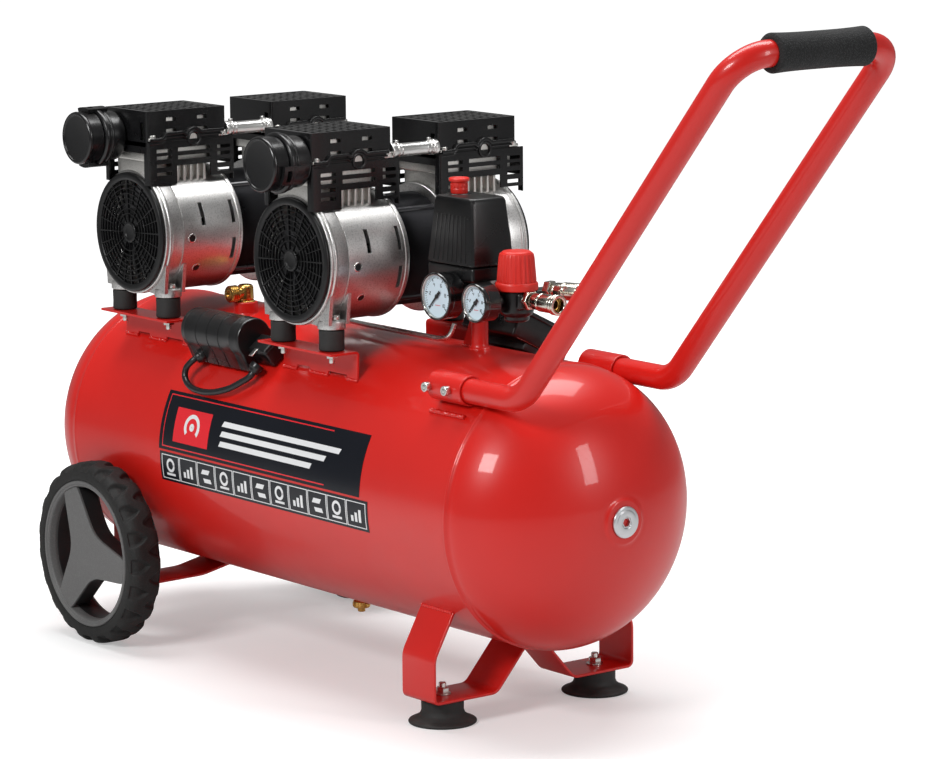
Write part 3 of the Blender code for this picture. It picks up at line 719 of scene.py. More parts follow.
@dataclass(frozen=True)
class Brushed(Finish):
    """Drawn or turned metal with fine lines along one direction."""

    stretch: tuple[float, float, float] = (1.0, 60.0, 60.0)
    line_scale: float = 30.0
    lines: float = 0.10

    def dress(self, board: Board, shader: bpy.types.Node, vector: bpy.types.NodeSocket) -> None:
        """Adds the lines to roughness and normal; see Finish.dress for the arguments."""
        super().dress(board, shader, vector)
        drawn = board.add("ShaderNodeMapping", {"Vector": vector, "Scale": self.stretch})
        noise = board.add("ShaderNodeTexNoise", {"Vector": drawn.outputs[0], "Scale": self.line_scale,
                                                 "Detail": 3.0})
        rough = shader.inputs["Roughness"].links[0].from_socket
        streak = board.math("MULTIPLY", board.span(noise.outputs[0], 0.3, 0.7), self.lines)
        board.tree.links.new(board.math("ADD", rough, streak), shader.inputs["Roughness"])
        bump = board.add("ShaderNodeBump", {"Height": noise.outputs[0], "Strength": 0.06, "Distance": 0.0001})
        board.tree.links.new(bump.outputs[0], shader.inputs["Normal"])


RED = GlossPaint("red_enamel", "red_paint", (0.58, 0.010, 0.006), 0.34, coat=0.35, coat_roughness=0.05,
                 specular=0.35,
                 drift=0.05, smudge=0.06)
CAST = Speckled("cast_aluminium", "cast_aluminium", (0.62, 0.61, 0.60), 0.34, metallic=1.0, drift=0.10,
                drift_scale=22.0, grain=0.55, grain_scale=620.0, speck=(0.30, 0.295, 0.29), speck_amount=0.5,
                smudge=0.10)
ROUGH_CAST = Speckled("cylinder_casting", "cast_aluminium", (0.66, 0.65, 0.62), 0.42, metallic=1.0,
                      drift=0.15, grain=0.5, grain_scale=500.0, speck=(0.38, 0.36, 0.34))
COVER = Finish("cover_plastic", "cover_plastic", (0.0055, 0.0055, 0.006), 0.21, drift=0.2, grain=0.16,
               grain_scale=1100.0, dust=0.05)
GUARD = Finish("guard_plastic", "guard_plastic", (0.005, 0.005, 0.0055), 0.33, drift=0.15, specular=0.35)
BLACK = Finish("housing_plastic", "black_plastic", (0.006, 0.006, 0.0065), 0.26, drift=0.2, grain=0.14,
               grain_scale=1000.0, dust=0.04)
CAN = Finish("gauge_can", "gauge_black", (0.007, 0.007, 0.0075), 0.16, coat=0.6, drift=0.1, grain=0.02)
WINDING = Finish("lacquered_steel", "winding_black", (0.055, 0.055, 0.06), 0.27, metallic=0.8, coat=0.5,
                 drift=0.3, grain=0.25, grain_scale=500.0)
RUBBER = Finish("moulded_rubber", "black_rubber", (0.016, 0.0155, 0.015), 0.62, drift=0.2, smudge=0.12,
                grain=0.3, grain_scale=700.0, dust=0.05)
LEAD = Finish("lead_sheath", "lead_rubber", (0.008, 0.008, 0.009), 0.30, drift=0.1, grain=0.05)
TYRE = Speckled("tyre_rubber", "tyre_rubber", (0.011, 0.0108, 0.0105), 0.60, drift=0.25, drift_scale=30.0,
                smudge=0.14, grain=0.35, grain_scale=800.0, speck=(0.030, 0.029, 0.028), speck_amount=0.4,
                specular=0.35)
WHEEL = Speckled("wheel_plastic", "wheel_plastic", (0.105, 0.104, 0.103), 0.50, drift=0.08,
                 grain=0.45, grain_scale=900.0, speck=(0.16, 0.16, 0.158), speck_amount=0.4)
# A much darker copy of the wheel plastic on the same slot: painted shade for the hub's window walls and the
# barrel behind the rim.
WHEEL_SHADE = Finish("wheel_core", "wheel_plastic", (0.012, 0.012, 0.0125), 0.42, drift=0.1, grain=0.2)
FOAM = Cellular("grip_foam", "foam", (0.020, 0.021, 0.022), 0.78, drift=0.2)
STEEL = Brushed("drawn_steel", "bright_steel", (0.66, 0.655, 0.64), 0.20, metallic=1.0, drift=0.05)
SCREW = Finish("plated_screw", "bright_steel", (0.68, 0.67, 0.64), 0.24, metallic=1.0, grain=0.05)
FAN = Brushed("fan_metal", "fan_steel", (0.12, 0.12, 0.125), 0.40, metallic=0.9)
NICKEL = Finish("nickel_plate", "coupling_nickel", (0.66, 0.62, 0.54), 0.16, metallic=1.0, drift=0.06,
                grain=0.03)
ZINC = Brushed("zinc_plate", "plug_zinc", (0.62, 0.625, 0.64), 0.26, metallic=1.0)
BRASS = Finish("machined_brass", "brass", (0.60, 0.36, 0.10), 0.24, metallic=1.0, drift=0.12, grain=0.08)
KNOB = Finish("red_knob", "red_plastic", (0.64, 0.020, 0.012), 0.36, drift=0.05, grain=0.08)
NEEDLE = Finish("needle_ink", "needle_black", (0.004, 0.004, 0.004), 0.45)
DIAL = Finish("dial_card", "gauge_black", (0.58, 0.71, 0.79), 0.35, drift=0.02, grain=0.02)
INK = Finish("printed_black", "gauge_black", (0.01, 0.01, 0.012), 0.5)
RED_INK = Finish("printed_red", "gauge_black", (0.6, 0.02, 0.03), 0.5)
FILM = Finish("label_film", "black_plastic", (0.0015, 0.0028, 0.007), 0.28, coat=0.1, drift=0.1, grain=0.0,
              specular=0.3)
FILM_RED = Finish("label_red", "red_paint", (0.72, 0.012, 0.022), 0.2, coat=0.4, grain=0.0, drift=0.02)
FILM_WHITE = Finish("label_white", "bright_steel", (0.74, 0.75, 0.76), 0.3, coat=0.3, grain=0.0, drift=0.02)


# ---------------------------------------------------------------- room and camera

@dataclass
class Studio:
    """Pale sweep of floor and backdrop, soft boxes and the camera."""

    middle: Vector = Vector((-0.0714, 0.0823, 0.3013))
    azimuth: float = 51.92
    elevation: float = 9.57
    roll: float = -0.44
    distance: float = 4.17707
    lens: float = 154.65
    ambient: float = 0.22

    def sight(self) -> tuple[Vector, Matrix]:
        """Works out the camera's place and turn from its angles.

        Returns:
            Its location, and its rotation as a 4x4 matrix.
        """
        a, e, r = (math.radians(value) for value in (self.azimuth, self.elevation, self.roll))
        back = Vector((math.sin(a) * math.cos(e), -math.cos(a) * math.cos(e), math.sin(e)))
        right = Vector((math.cos(a), math.sin(a), 0.0))
        up = back.cross(right)
        right_turned = right * math.cos(r) + up * math.sin(r)
        up_turned = -right * math.sin(r) + up * math.cos(r)
        turn = Matrix((right_turned, up_turned, back)).transposed().to_4x4()
        return self.middle + back * self.distance, turn

    def camera(self) -> None:
        """Adds the camera and makes it the scene's own."""
        data = bpy.data.cameras.new("camera")
        data.lens = self.lens
        data.sensor_width = 36.0
        data.clip_end = 60.0
        eye = bpy.data.objects.new("camera", data)
        bpy.context.scene.collection.objects.link(eye)
        location, turn = self.sight()
        eye.matrix_world = Matrix.Translation(location) @ turn
        bpy.context.scene.camera = eye

    def softbox(self, name: str, at: Point, aim: Point, size: tuple[float, float], power: float) -> None:
        """Adds a rectangular lamp.

        Args:
            name: the lamp's name.
            at: where it is, in metres.
            aim: the point that it faces.
            size: its width and height, in metres.
            power: its power, in watts.
        """
        data = bpy.data.lights.new(name, "AREA")
        data.shape = "RECTANGLE"
        data.size, data.size_y = size
        data.energy = power
        lamp = bpy.data.objects.new(name, data)
        bpy.context.scene.collection.objects.link(lamp)
        look = Vector(aim) - Vector(at)
        lamp.matrix_world = Matrix.Translation(at) @ look.to_track_quat("-Z", "Y").to_matrix().to_4x4()

    def floor(self) -> None:
        """Adds the floor, a flat sheet so wide that its edge is out of sight."""
        mesh = bpy.data.meshes.new("floor")
        reach = 14.0
        mesh.from_pydata([(-reach, -reach, 0), (reach, -reach, 0), (reach, reach, 0), (-reach, reach, 0)],
                         [], [(0, 1, 2, 3)])
        sheet = bpy.data.objects.new("floor", mesh)
        bpy.context.scene.collection.objects.link(sheet)
        paint = bpy.data.materials.new("floor_paint")
        paint.use_nodes = True
        board = Board(paint.node_tree)
        shader = paint.node_tree.nodes["Principled BSDF"]
        vector = board.add("ShaderNodeTexCoord").outputs["Object"]
        tone = board.group("tone", Vector=vector, Color=(0.70, 0.70, 0.70, 1.0), Scale=0.8, Amount=0.01)
        board.tree.links.new(tone.outputs["Color"], shader.inputs["Base Color"])
        shader.inputs["Roughness"].default_value = 0.65
        shader.inputs["Emission Strength"].default_value = 1.0
        seen = board.add("ShaderNodeLightPath").outputs["Is Camera Ray"]
        away = board.add("ShaderNodeVectorMath", {0: vector}, operation="LENGTH").outputs["Value"]
        # Camera rays also see the floor glow, from 0.3 near the middle to 0.9 far off: painted light that
        # fades it into the white backdrop.
        painted_floor_glow = board.math("MULTIPLY", board.span(away, 0.2, 1.9, 0.3, 0.9), seen)
        board.tree.links.new(board.mix(painted_floor_glow, (0.0, 0.0, 0.0), (1.0, 1.0, 1.0)),
                             shader.inputs["Emission Color"])
        mesh.materials.append(paint)
        sheet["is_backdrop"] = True

    def build(self) -> None:
        """Sets up the whole room."""
        scene = bpy.context.scene
        scene.view_settings.view_transform = "Standard"
        world = bpy.data.worlds.new("room")
        world.use_nodes = True
        board = Board(world.node_tree)
        seen = board.add("ShaderNodeLightPath").outputs["Is Camera Ray"]
        backdrop = world.node_tree.nodes["Background"]
        backdrop.inputs["Color"].default_value = (1.0, 1.0, 1.0, 1.0)
        board.tree.links.new(board.span(seen, 0.0, 1.0, self.ambient, 1.0), backdrop.inputs["Strength"])
        scene.world = world
        self.camera()
        self.floor()
        self.softbox("key", (0.6, -2.8, 2.2), (0.0, 0.0, 0.3), (1.2, 0.8), 66.0)
        self.softbox("top", (-0.4, 0.3, 2.6), (0.0, 0.0, 0.3), (2.6, 1.0), 70.0)
        self.softbox("front", (3.0, 0.9, 1.4), (0.3, 0.0, 0.35), (0.5, 1.3), 24.0)
        LOG.info("room ready")


# ---------------------------------------------------------------- tank

@dataclass
class Tank:
    """Welded pressure tank with its plug, tap, handle sockets and bent feet straps."""

    shop: Workshop
    radius: float = 144.0
    axis_z: float = 215.7
    seam: float = 330.8
    dome: float = 100.0
    socket_y: float = 96.5
    socket_z: float = 340.6
    socket_r: float = 15.2
    socket_ends: tuple[float, float] = (262.0, 314.0)
    handle_r: float = 12.5
    steps: int = 128

    def on_skin(self, x: np.ndarray, angle: np.ndarray, lift: np.ndarray | float = 0.0) -> np.ndarray:
        """Points on the near half of the round wall.

        A point is (x, -(R + lift) cos a, z0 + (R + lift) sin a), with a in degrees up from the
        level line on the near side.

        Args:
            x: place along the tank.
            angle: degrees round it.
            lift: height off the wall.

        Returns:
            The points.
        """
        reach, turn = self.radius + lift, np.radians(angle)
        return np.stack(np.broadcast_arrays(x, -reach * np.cos(turn), self.axis_z + reach * np.sin(turn)), -1)

    def shell(self) -> None:
        """The wall, its plug boss, the two seam beads and the handle's sockets."""
        t = np.radians(np.linspace(0, 90, 42))
        arc = np.stack([self.radius * np.cos(t), self.seam + self.dome * np.sin(t)], -1)
        front = arc[(arc[:, 0] > 26.0) & (t > np.radians(5))]
        weld = [(24.5, 429.0), (22.8, 430.2), (21.6, 431.0)]
        boss = [(0.0, 431.0), (20.6, 431.0)]
        joint = [(self.radius - 0.9, self.seam + 7.5), (self.radius - 1.2, self.seam + 2.2),
                 (self.radius - 0.2, self.seam + 1.2), (self.radius + 0.7, self.seam + 0.2),
                 (self.radius + 0.9, self.seam - 1.2), (self.radius + 0.2, self.seam - 2.4),
                 (self.radius, self.seam - 3.2)]
        outer = [tuple(p) for p in front[::-1]]
        back = [(r, -h) for r, h in reversed(joint)] + [(r, -h) for r, h in arc[t > np.radians(5)]]
        profile = boss + weld[::-1] + outer + joint + back
        sketch = Sketch().turned(profile, (0, 0, self.axis_z), Axis.X, self.steps)
        low, high = self.socket_ends
        wall = rounded([(self.handle_r + 0.3, high), (self.socket_r, high), (self.socket_r, low),
                        (self.handle_r + 0.3, low)], 0.8, 3, closed=True)
        for end in End:
            at = (0, end.value * self.socket_y, self.socket_z)
            sketch.turned(wall, at, Axis.X, 48, ring=True)
            sketch.turned([(0, low + 3), (self.handle_r + 0.6, low + 3), (self.handle_r + 0.6, low + 1),
                           (0, low + 1)], at, Axis.X, 48)
            x = np.linspace(low - 1, high + 1, 60)
            ripple = 1 + 0.18 * np.sin(x * 2.1) + 0.1 * np.sin(x * 5.3)
            for shift, y_in in ((-1.0, 84.0), (1.0, 104.5)):
                z = self.axis_z + np.sqrt(self.radius ** 2 - y_in ** 2) + 0.6
                line = np.stack([x, np.full_like(x, end.value * (y_in + shift)), np.full_like(x, z)], -1)
                sketch.swept(line, circle(2.3, 12), scale=ripple)
        self.shop.make("tank_wall", sketch, RED, replaces=["tank_shell"], smooth=50)

    def sockets(self) -> None:
        """Two socket screws in each handle socket."""
        head = rounded([(0.0, 5.6), (2.4, 5.6), (2.4, 2.8), (2.5, 2.8), (2.5, 5.6), (4.6, 5.6), (4.9, 5.2),
                        (4.9, 0.2), (3.4, 0.0), (3.2, -2.0), (0.0, -2.0)], 0.25, 2)
        for end in End:
            toward = Axis.NEAR if end is End.NEAR else Axis.Y
            sketch = Sketch()
            for x in (266.0, 297.0):
                at = (x, end.value * (self.socket_y + self.socket_r + 1.0), self.socket_z)
                sketch.turned(head, at, toward, 20)
            self.shop.make(f"socket_screws_{end.label}", sketch, SCREW)

    def plug(self) -> None:
        """Zinc-plated flange plug with a six-sided key socket."""
        face = 434.6
        flange = rounded([(5.6, face - 6), (5.6, face - 0.6), (6.4, face), (11.6, face), (12.2, face - 0.7),
                          (15.0, face - 0.7), (15.8, face - 1.6), (15.8, 431.3), (9.8, 431.3),
                          (9.8, face - 13), (5.6, face - 13)], 0.35, 2, closed=True)
        at = (0, 0, self.axis_z)
        sketch = Sketch().turned(flange, at, Axis.X, 64, ring=True)
        key = [(4.6, face - 0.8), (6.0, face - 0.8), (6.0, face - 7), (4.6, face - 7)]
        sketch.turned(key, at, Axis.X, 6, ring=True)
        sketch.turned([(0, face - 6.5), (5.8, face - 6.5), (5.8, face - 8), (0, face - 8)], at, Axis.X, 24)
        self.shop.make("key_plug", sketch, ZINC, replaces=["tank_plug"], smooth=30)

    def tap(self) -> None:
        """Brass drain tap with a knurled skirt and a wing, under the middle of the tank."""
        top = self.axis_z - self.radius - 0.4
        at = (0, 0, top)
        body = rounded([(0, 0), (6, 0), (6, -6.5), (8.6, -8), (9, -9), (9, -14.4), (8.4, -15.2), (4.2, -16),
                        (4, -19.6), (3.2, -20), (0, -20)], 0.4, 2)
        sketch = Sketch().turned(body, at, Axis.Z, 40)
        sketch.block((-13, -1.5, top - 14), (13, 1.5, top - 9), 1.2)
        for turn in np.radians(np.arange(0, 360, 20)):
            middle = np.array((8.9 * math.cos(turn), 8.9 * math.sin(turn), top - 11.7))
            sketch.block(middle - (0.5, 0.5, 2.4), middle + (0.5, 0.5, 2.4), 0.2, 1)
        self.shop.make("drain_tap_brass", sketch, BRASS, "drain_tap", replaces=["drain_tap"])

    def strap(self, x: float, half: list[Point], width: float) -> Sketch:
        """A flat bar bent across under the tank.

        Args:
            x: the bar's middle along the tank.
            half: the far half of its centre line, as (y, z).
            width: the bar's width.

        Returns:
            The sketch, for pieces that are welded on.
        """
        line = [(-y, z) for y, z in reversed(half)] + half
        bend = rounded(line, 6.5, 6)
        path = np.column_stack([np.full(len(bend), x), bend])
        section = slab(1.5, width / 2, 0.9)
        return Sketch().swept(path, section, up=(1, 0, 0))

    def straps(self) -> None:
        """Front strap with its pads, and the rear strap that carries the axle pins."""
        front = [(12.0, 69.4), (50.0, 26.7), (128.0, 26.7), (128.0, 72.0), (103.6, 115.8)]
        sketch = self.strap(267.0, front, 52.0)
        self.welds(sketch, 267.0, 104.6)
        self.shop.make("front_bent_strap", sketch, RED, replaces=["front_foot_strap"])
        rear = [(12.0, 69.4), (50.0, 61.5), (127.0, 60.5), (131.0, 66.0), (131.0, 153.0)]
        sketch = self.strap(-248.6, rear, 52.0)
        pin = rounded([(0, 172.0), (5.2, 172.0), (6.0, 171.2), (6.0, 130.5), (0, 130.5)], 0.4, 2)
        nut = [(0, 136.5), (9.5, 136.5), (9.5, 132.6), (0, 132.6)]
        for toward in (Axis.NEAR, Axis.Y):
            sketch.turned(pin, (-248.6, 0, 98.9), toward, 32)
            sketch.turned(nut, (-248.6, 0, 98.9), toward, 6)
        self.welds(sketch, -248.6, 130.0)
        self.shop.make("rear_bent_strap", sketch, RED, replaces=["wheel_strap"])

    def welds(self, sketch: Sketch, x: float, y: float) -> None:
        """Rippled weld beads where a strap's ends meet the tank.

        Args:
            sketch: where the beads are added.
            x: the strap's middle.
            y: how far out its ends are.
        """
        run = np.linspace(-25, 25, 50)
        z = self.axis_z - math.sqrt(self.radius ** 2 - y ** 2) - 0.5
        for side in (-1, 1):
            line = np.stack([x + run, np.full_like(run, side * y), np.full_like(run, z)], -1)
            sketch.swept(line, circle(2.0, 10), scale=1 + 0.2 * np.sin(run * 2.3))

    def feet(self) -> None:
        """Flared rubber feet, each held by a stud with a washer and a nut."""
        side = rounded([(0, 24.9), (20.4, 24.9), (21.5, 23.6), (21.3, 13.0), (23.0, 9.0), (28.0, 5.4),
                        (33.6, 3.2), (34.4, 2.2), (34.4, 1.2), (33.4, 0.0), (26.0, 0.0), (22.0, 2.5),
                        (0, 2.5)], 1.2, 4)
        for end in End:
            at = (267.0, end.value * 99.0, 0.0)
            foot = Sketch().turned(side, at, Axis.Z, 72)
            self.shop.make(f"rubber_foot_{end.label}", foot, RUBBER, replaces=[f"front_foot_{end.label}"])
            nut = Sketch()
            nut.turned(rounded([(0, 29.9), (8.6, 29.9), (8.6, 28.3), (0, 28.3)], 0.3, 2), at, Axis.Z, 32)
            nut.turned(rounded([(0, 36.0), (5.2, 36.0), (6.6, 34.8), (6.6, 29.9), (0, 29.9)], 0.2, 1), at,
                       Axis.Z, 6)
            nut.turned(rounded([(0, 40.6), (3.1, 40.6), (3.8, 39.8), (3.8, 28.0), (0, 28.0)], 0.2, 2), at,
                       Axis.Z, 20)
            self.shop.make(f"foot_nut_{end.label}", nut, SCREW, bevel=0.2)

    def build(self) -> None:
        """Makes the tank and everything that is welded or screwed to its ends and belly."""
        self.shell()
        self.sockets()
        self.plug()
        self.tap()
        self.straps()
        self.feet()


@dataclass
class Label:
    """Printed film on the near side: a dark panel with plain shapes, and a strip of small signs."""

    shop: Workshop
    tank: Tank
    left: float = -165.0
    right: float = 192.0
    low: float = 2.6
    high: float = 28.0

    def patch(self, sketch: Sketch, xs: np.ndarray, angles: np.ndarray, solid: np.ndarray, lift: float,
              lean: float = 0.0) -> None:
        """Adds a thin patch to a sketch.

        Args:
            sketch: where it goes.
            xs: lines along the tank.
            angles: lines round it, in degrees.
            solid: which cells are film.
            lift: height of its inner face off the wall.
            lean: how far its top leans along x for each degree.
        """
        sketch.pierced(xs, angles, solid, lambda u, v, w: self.tank.on_skin(
            u + (v - angles[0]) * lean, v, lift + w * 0.08))

    def bar(self, sketch: Sketch, x0: float, x1: float, a0: float, a1: float, lift: float,
            lean: float = 0.0) -> None:
        """A plain bar of film between two places and two angles."""
        xs, angles = np.array([x0, x1]), np.linspace(a0, a1, max(2, math.ceil(abs(a1 - a0) / 1.0) + 1))
        self.patch(sketch, xs, angles, np.ones((1, len(angles) - 1), bool), lift, lean)

    def ring(self, sketch: Sketch, x: float, angle: float, outer: float, inner: float, lift: float,
             start: float = 0.0, sweep: float = 360.0) -> None:
        """A printed ring or part of one, centred at (x, angle), in millimetres."""
        turns = np.linspace(start, start + sweep, max(5, int(sweep / 12) + 1))
        radii = np.array([inner, outer])
        degree = math.degrees(1.0 / self.tank.radius)
        solid = np.ones((len(turns) - 1, 1), bool)
        sketch.pierced(turns, radii, solid, lambda u, v, w: self.tank.on_skin(
            x + v * np.cos(np.radians(u)), angle + v * np.sin(np.radians(u)) * degree, lift + w * 0.08))

    def panel(self) -> None:
        """The dark panel with its fine red frame, red block and pale bars."""
        dark, red, white = Sketch(), Sketch(), Sketch()
        self.bar(dark, self.left, self.right, self.low, self.high, 0.10)
        for y in (self.low + 1.3, self.high - 1.9):
            self.bar(red, self.left + 6, self.right - 60, y, y + 0.5, 0.2)
        self.bar(red, self.left + 6, self.left + 7.2, self.low + 1.3, self.high - 1.4, 0.2)
        self.bar(red, -140.0, -76.0, 6.8, 21.6, 0.2)
        self.ring(white, -108.0, 14.2, 14.0, 9.6, 0.3, -40.0, 260.0)
        self.ring(white, -108.0, 14.2, 4.2, 0.6, 0.3)
        for x1, a0 in ((150.0, 17.6), (128.0, 13.4), (106.0, 9.2)):
            self.bar(white, -56.0, x1, a0, a0 + 2.3, 0.3, 1.2)
        self.shop.make("label_panel", dark, FILM)
        self.shop.make("label_frame", red, FILM_RED)
        self.shop.make("label_bars", white, FILM_WHITE)

    def strip(self) -> None:
        """Eleven small framed signs in a row, each of plain bars and rings."""
        dark, white = Sketch(), Sketch()
        left, right, low, high = -160.0, 203.0, -9.9, 0.6
        self.bar(dark, left - 3, right + 3, low - 1.1, high + 1.1, 0.10)
        count = 11
        pitch = (right - left) / count
        for i in range(count):
            x0, x1 = left + i * pitch + 0.5, left + (i + 1) * pitch - 0.5
            xs = np.array([x0, x0 + 1.1, x1 - 1.1, x1])
            angles = np.concatenate([[low], np.linspace(low + 0.35, high - 0.35, 9), [high]])
            solid = np.ones((3, 10), bool)
            solid[1, 1:-1] = False
            self.patch(white, xs, angles, solid, 0.2)
            self.sign(white, i, (x0 + x1) / 2, (low + high) / 2)
        self.shop.make("sign_strip", dark, FILM)
        self.shop.make("sign_shapes", white, FILM_WHITE)

    def sign(self, sketch: Sketch, kind: int, x: float, a: float) -> None:
        """One sign's plain shapes.

        Args:
            sketch: where they go.
            kind: the sign's number along the strip.
            x: its middle along the tank.
            a: its middle round the tank, in degrees.
        """
        if kind % 3 == 0:
            self.ring(sketch, x, a + 0.8, 7.5, 4.5, 0.2)
            self.bar(sketch, x - 8, x + 8, a - 3.6, a - 2.6, 0.2)
        elif kind % 3 == 1:
            for k in range(3):
                self.bar(sketch, x - 9 + 6.4 * k, x - 5 + 6.4 * k, a - 3, a - 0.6 + 1.4 * k, 0.2)
        else:
            self.bar(sketch, x - 9, x + 4, a + 0.6, a + 2.6, 0.2, 1.6)
            self.bar(sketch, x - 4, x + 9, a - 3.0, a - 1.2, 0.2, -0.9)

    def build(self) -> None:
        """Prints both films."""
        self.panel()
        self.strip()


# ---------------------------------------------------------------- wheels

@dataclass
class Wheel:
    """Solid rubber tyre on a three-spoke plastic hub."""

    shop: Workshop
    end: End
    x: float = -248.6
    z: float = 98.9
    face: float = 188.3
    width: float = 39.0
    outer: float = 98.9
    rim: float = 79.7
    lugs: int = 20

    def place(self, turn: np.ndarray, radius: np.ndarray, out: np.ndarray) -> np.ndarray:
        """Points at an angle, a radius and a distance from the machine's middle plane."""
        side = self.end.value
        return np.stack(np.broadcast_arrays(self.x - side * radius * np.cos(turn), side * out,
                                            self.z + radius * np.sin(turn)), -1)

    def tread(self, turn: np.ndarray, across: np.ndarray) -> np.ndarray:
        """Depth of the tread at an angle and a place across it, from -1 to 1.

        Each shoulder has a row of rounded triangular pockets, half a pitch apart. A pocket is
        where |angle| / width(across) is below one, its width shrinking towards the middle, and
        its walls are steep but smooth.
        """
        depth = np.zeros(np.broadcast(turn, across).shape)
        pitch = 2 * np.pi / self.lugs
        for side, shift in ((-1, 0.0), (1, 0.5)):
            local = (turn / pitch + shift) % 1.0 - 0.5
            toward = np.clip(1.02 - side * across, 0, 2)
            reach = 0.27 * np.clip(1 - (toward / 1.0) ** 2.2, 0, 1)
            inside = 1 / (1 + np.exp((np.abs(local) - reach) * 64))
            edge = 1 / (1 + np.exp(-(toward - 0.10) * 26)) * 0.45 + 0.55
            depth = np.maximum(depth, inside * edge * (toward < 1.0))
        return depth

    def tyre(self) -> None:
        """The tyre: a rounded section turned about the axle, with pockets pressed into its tread."""
        back = self.face - self.width
        section = rounded([(self.rim + 0.3, self.face - 1.4), (82.4, self.face), (90.0, self.face),
                           (96.0, self.face - 3.4), (self.outer, self.face - 9.0), (self.outer, back + 9.0),
                           (96.0, back + 3.4), (90.0, back), (82.4, back), (self.rim + 0.3, back + 1.4)],
                          4.0, 5)
        length = np.concatenate([[0], np.cumsum(np.linalg.norm(np.diff(section, axis=0), axis=1))])
        fine = np.linspace(0, length[-1], 74)
        radius, out = np.interp(fine, length, section[:, 0]), np.interp(fine, length, section[:, 1])
        turn = np.linspace(0, 2 * np.pi, 720, endpoint=False)[:, None]
        across = (out - (self.face + back) / 2) / (self.width / 2)
        on_tread = 1 / (1 + np.exp(-(radius - 92.0) * 1.6))
        depth = self.tread(turn, across[None]) * on_tread[None]
        pinch = 1 - 0.02 * depth * np.sign(across)[None]
        middle = (self.face + back) / 2
        points = self.place(turn, radius[None] - 4.4 * depth, middle + (out - middle)[None] * pinch)
        inner = self.place(turn, np.full((1, 2), self.rim + 0.3), np.array([[back + 1.4, self.face - 1.4]]))
        ring = np.concatenate([points, inner], 1)
        sketch = Sketch().add(ring, grid_faces(*ring.shape[:2], wrap_rows=True, wrap_columns=True))
        name = f"wheel_{self.end.label}"
        self.shop.make(f"{name}_tread", sketch, TYRE, name, replaces=[f"{name}_tyre"], smooth=45)

    def hub(self) -> None:
        """Rim ring, star of three spokes with filleted windows, the boss on the axle, and the windows' inner
        walls and barrel in a darker copy of the plastic: painted shade.
        """
        face, back = self.face, self.face - self.width
        toward = Axis.NEAR if self.end is End.NEAR else Axis.Y
        at = (self.x, 0, self.z)
        ring = rounded([(self.rim, face - 1.2), (78.9, face - 0.2), (76.4, face - 0.2), (75.6, face - 1.6),
                        (74.2, face - 1.6), (73.0, face - 3.2), (71.4, face - 9.0), (71.4, face - 12.0),
                        (self.rim, face - 12.0)], 0.6, 3, closed=True)
        sketch = Sketch().turned(ring, at, toward, 128, ring=True)
        outline = self.star()
        middle = np.array((self.x, self.z))
        sketch.prism(outline, "y", self.end.value * (face - 5.4), self.end.value * (face - 2.2))
        # Inner walls of the windows and the barrel behind the rim, dark with painted shade.
        well = Sketch()
        well.prism(middle + (outline - middle) * 0.985, "y", self.end.value * (face - 24.0),
                   self.end.value * (face - 5.2))
        barrel = [(self.rim, face - 11.6), (71.0, face - 11.6), (71.0, back + 6.0), (73.2, back + 0.5),
                  (self.rim, back + 0.5)]
        well.turned(rounded(barrel, 0.8, 3, closed=True), at, toward, 96, ring=True)
        self.shop.make(f"wheel_{self.end.label}_well", well, WHEEL_SHADE, f"wheel_{self.end.label}")
        for turn in (-7.0, 113.0, 233.0):
            self.rib(sketch, turn)
        boss = rounded([(6.4, back + 4), (15, back + 4), (15, face - 8), (6.4, face - 8)], 0.8, 2,
                       closed=True)
        sketch.turned(boss, at, toward, 48, ring=True)
        name = f"wheel_{self.end.label}"
        self.shop.make(f"{name}_spokes", sketch, WHEEL, name, replaces=[f"{name}_hub"], bevel=0.9,
                       segments=3)

    def star(self) -> np.ndarray:
        """The spokes' outline in x and z: three arms to the rim with filleted corners between."""
        side = self.end.value
        corners: list[Point] = []
        for middle in (-7.0, 113.0, 233.0):
            corners += [(middle + t, 73.0) for t in np.linspace(-11.0, 11.0, 9)]
            corners += [(middle + 46.0, 31.0), (middle + 74.0, 31.0)]
        points = [(self.x - side * r * math.cos(math.radians(t)), self.z + r * math.sin(math.radians(t)))
                  for t, r in corners]
        return rounded(points, 9.0, 6, closed=True)

    def rib(self, sketch: Sketch, middle: float) -> None:
        """Two stiffening ribs behind one spoke."""
        side = self.end.value
        turn = math.radians(middle)
        direction = np.array((-side * math.cos(turn), math.sin(turn)))
        across = np.array((-direction[1], direction[0]))
        for shift in (-9.0, 9.0):
            ends = [np.array((self.x, self.z)) + direction * r + across * shift for r in (14.0, 72.0)]
            outline = [ends[0] - across, ends[1] - across, ends[1] + across, ends[0] + across]
            sketch.prism(outline, "y", side * (self.face - 30.0), side * (self.face - 12.0))

    def build(self) -> None:
        """Makes one wheel."""
        self.tyre()
        self.hub()


# ---------------------------------------------------------------- handle

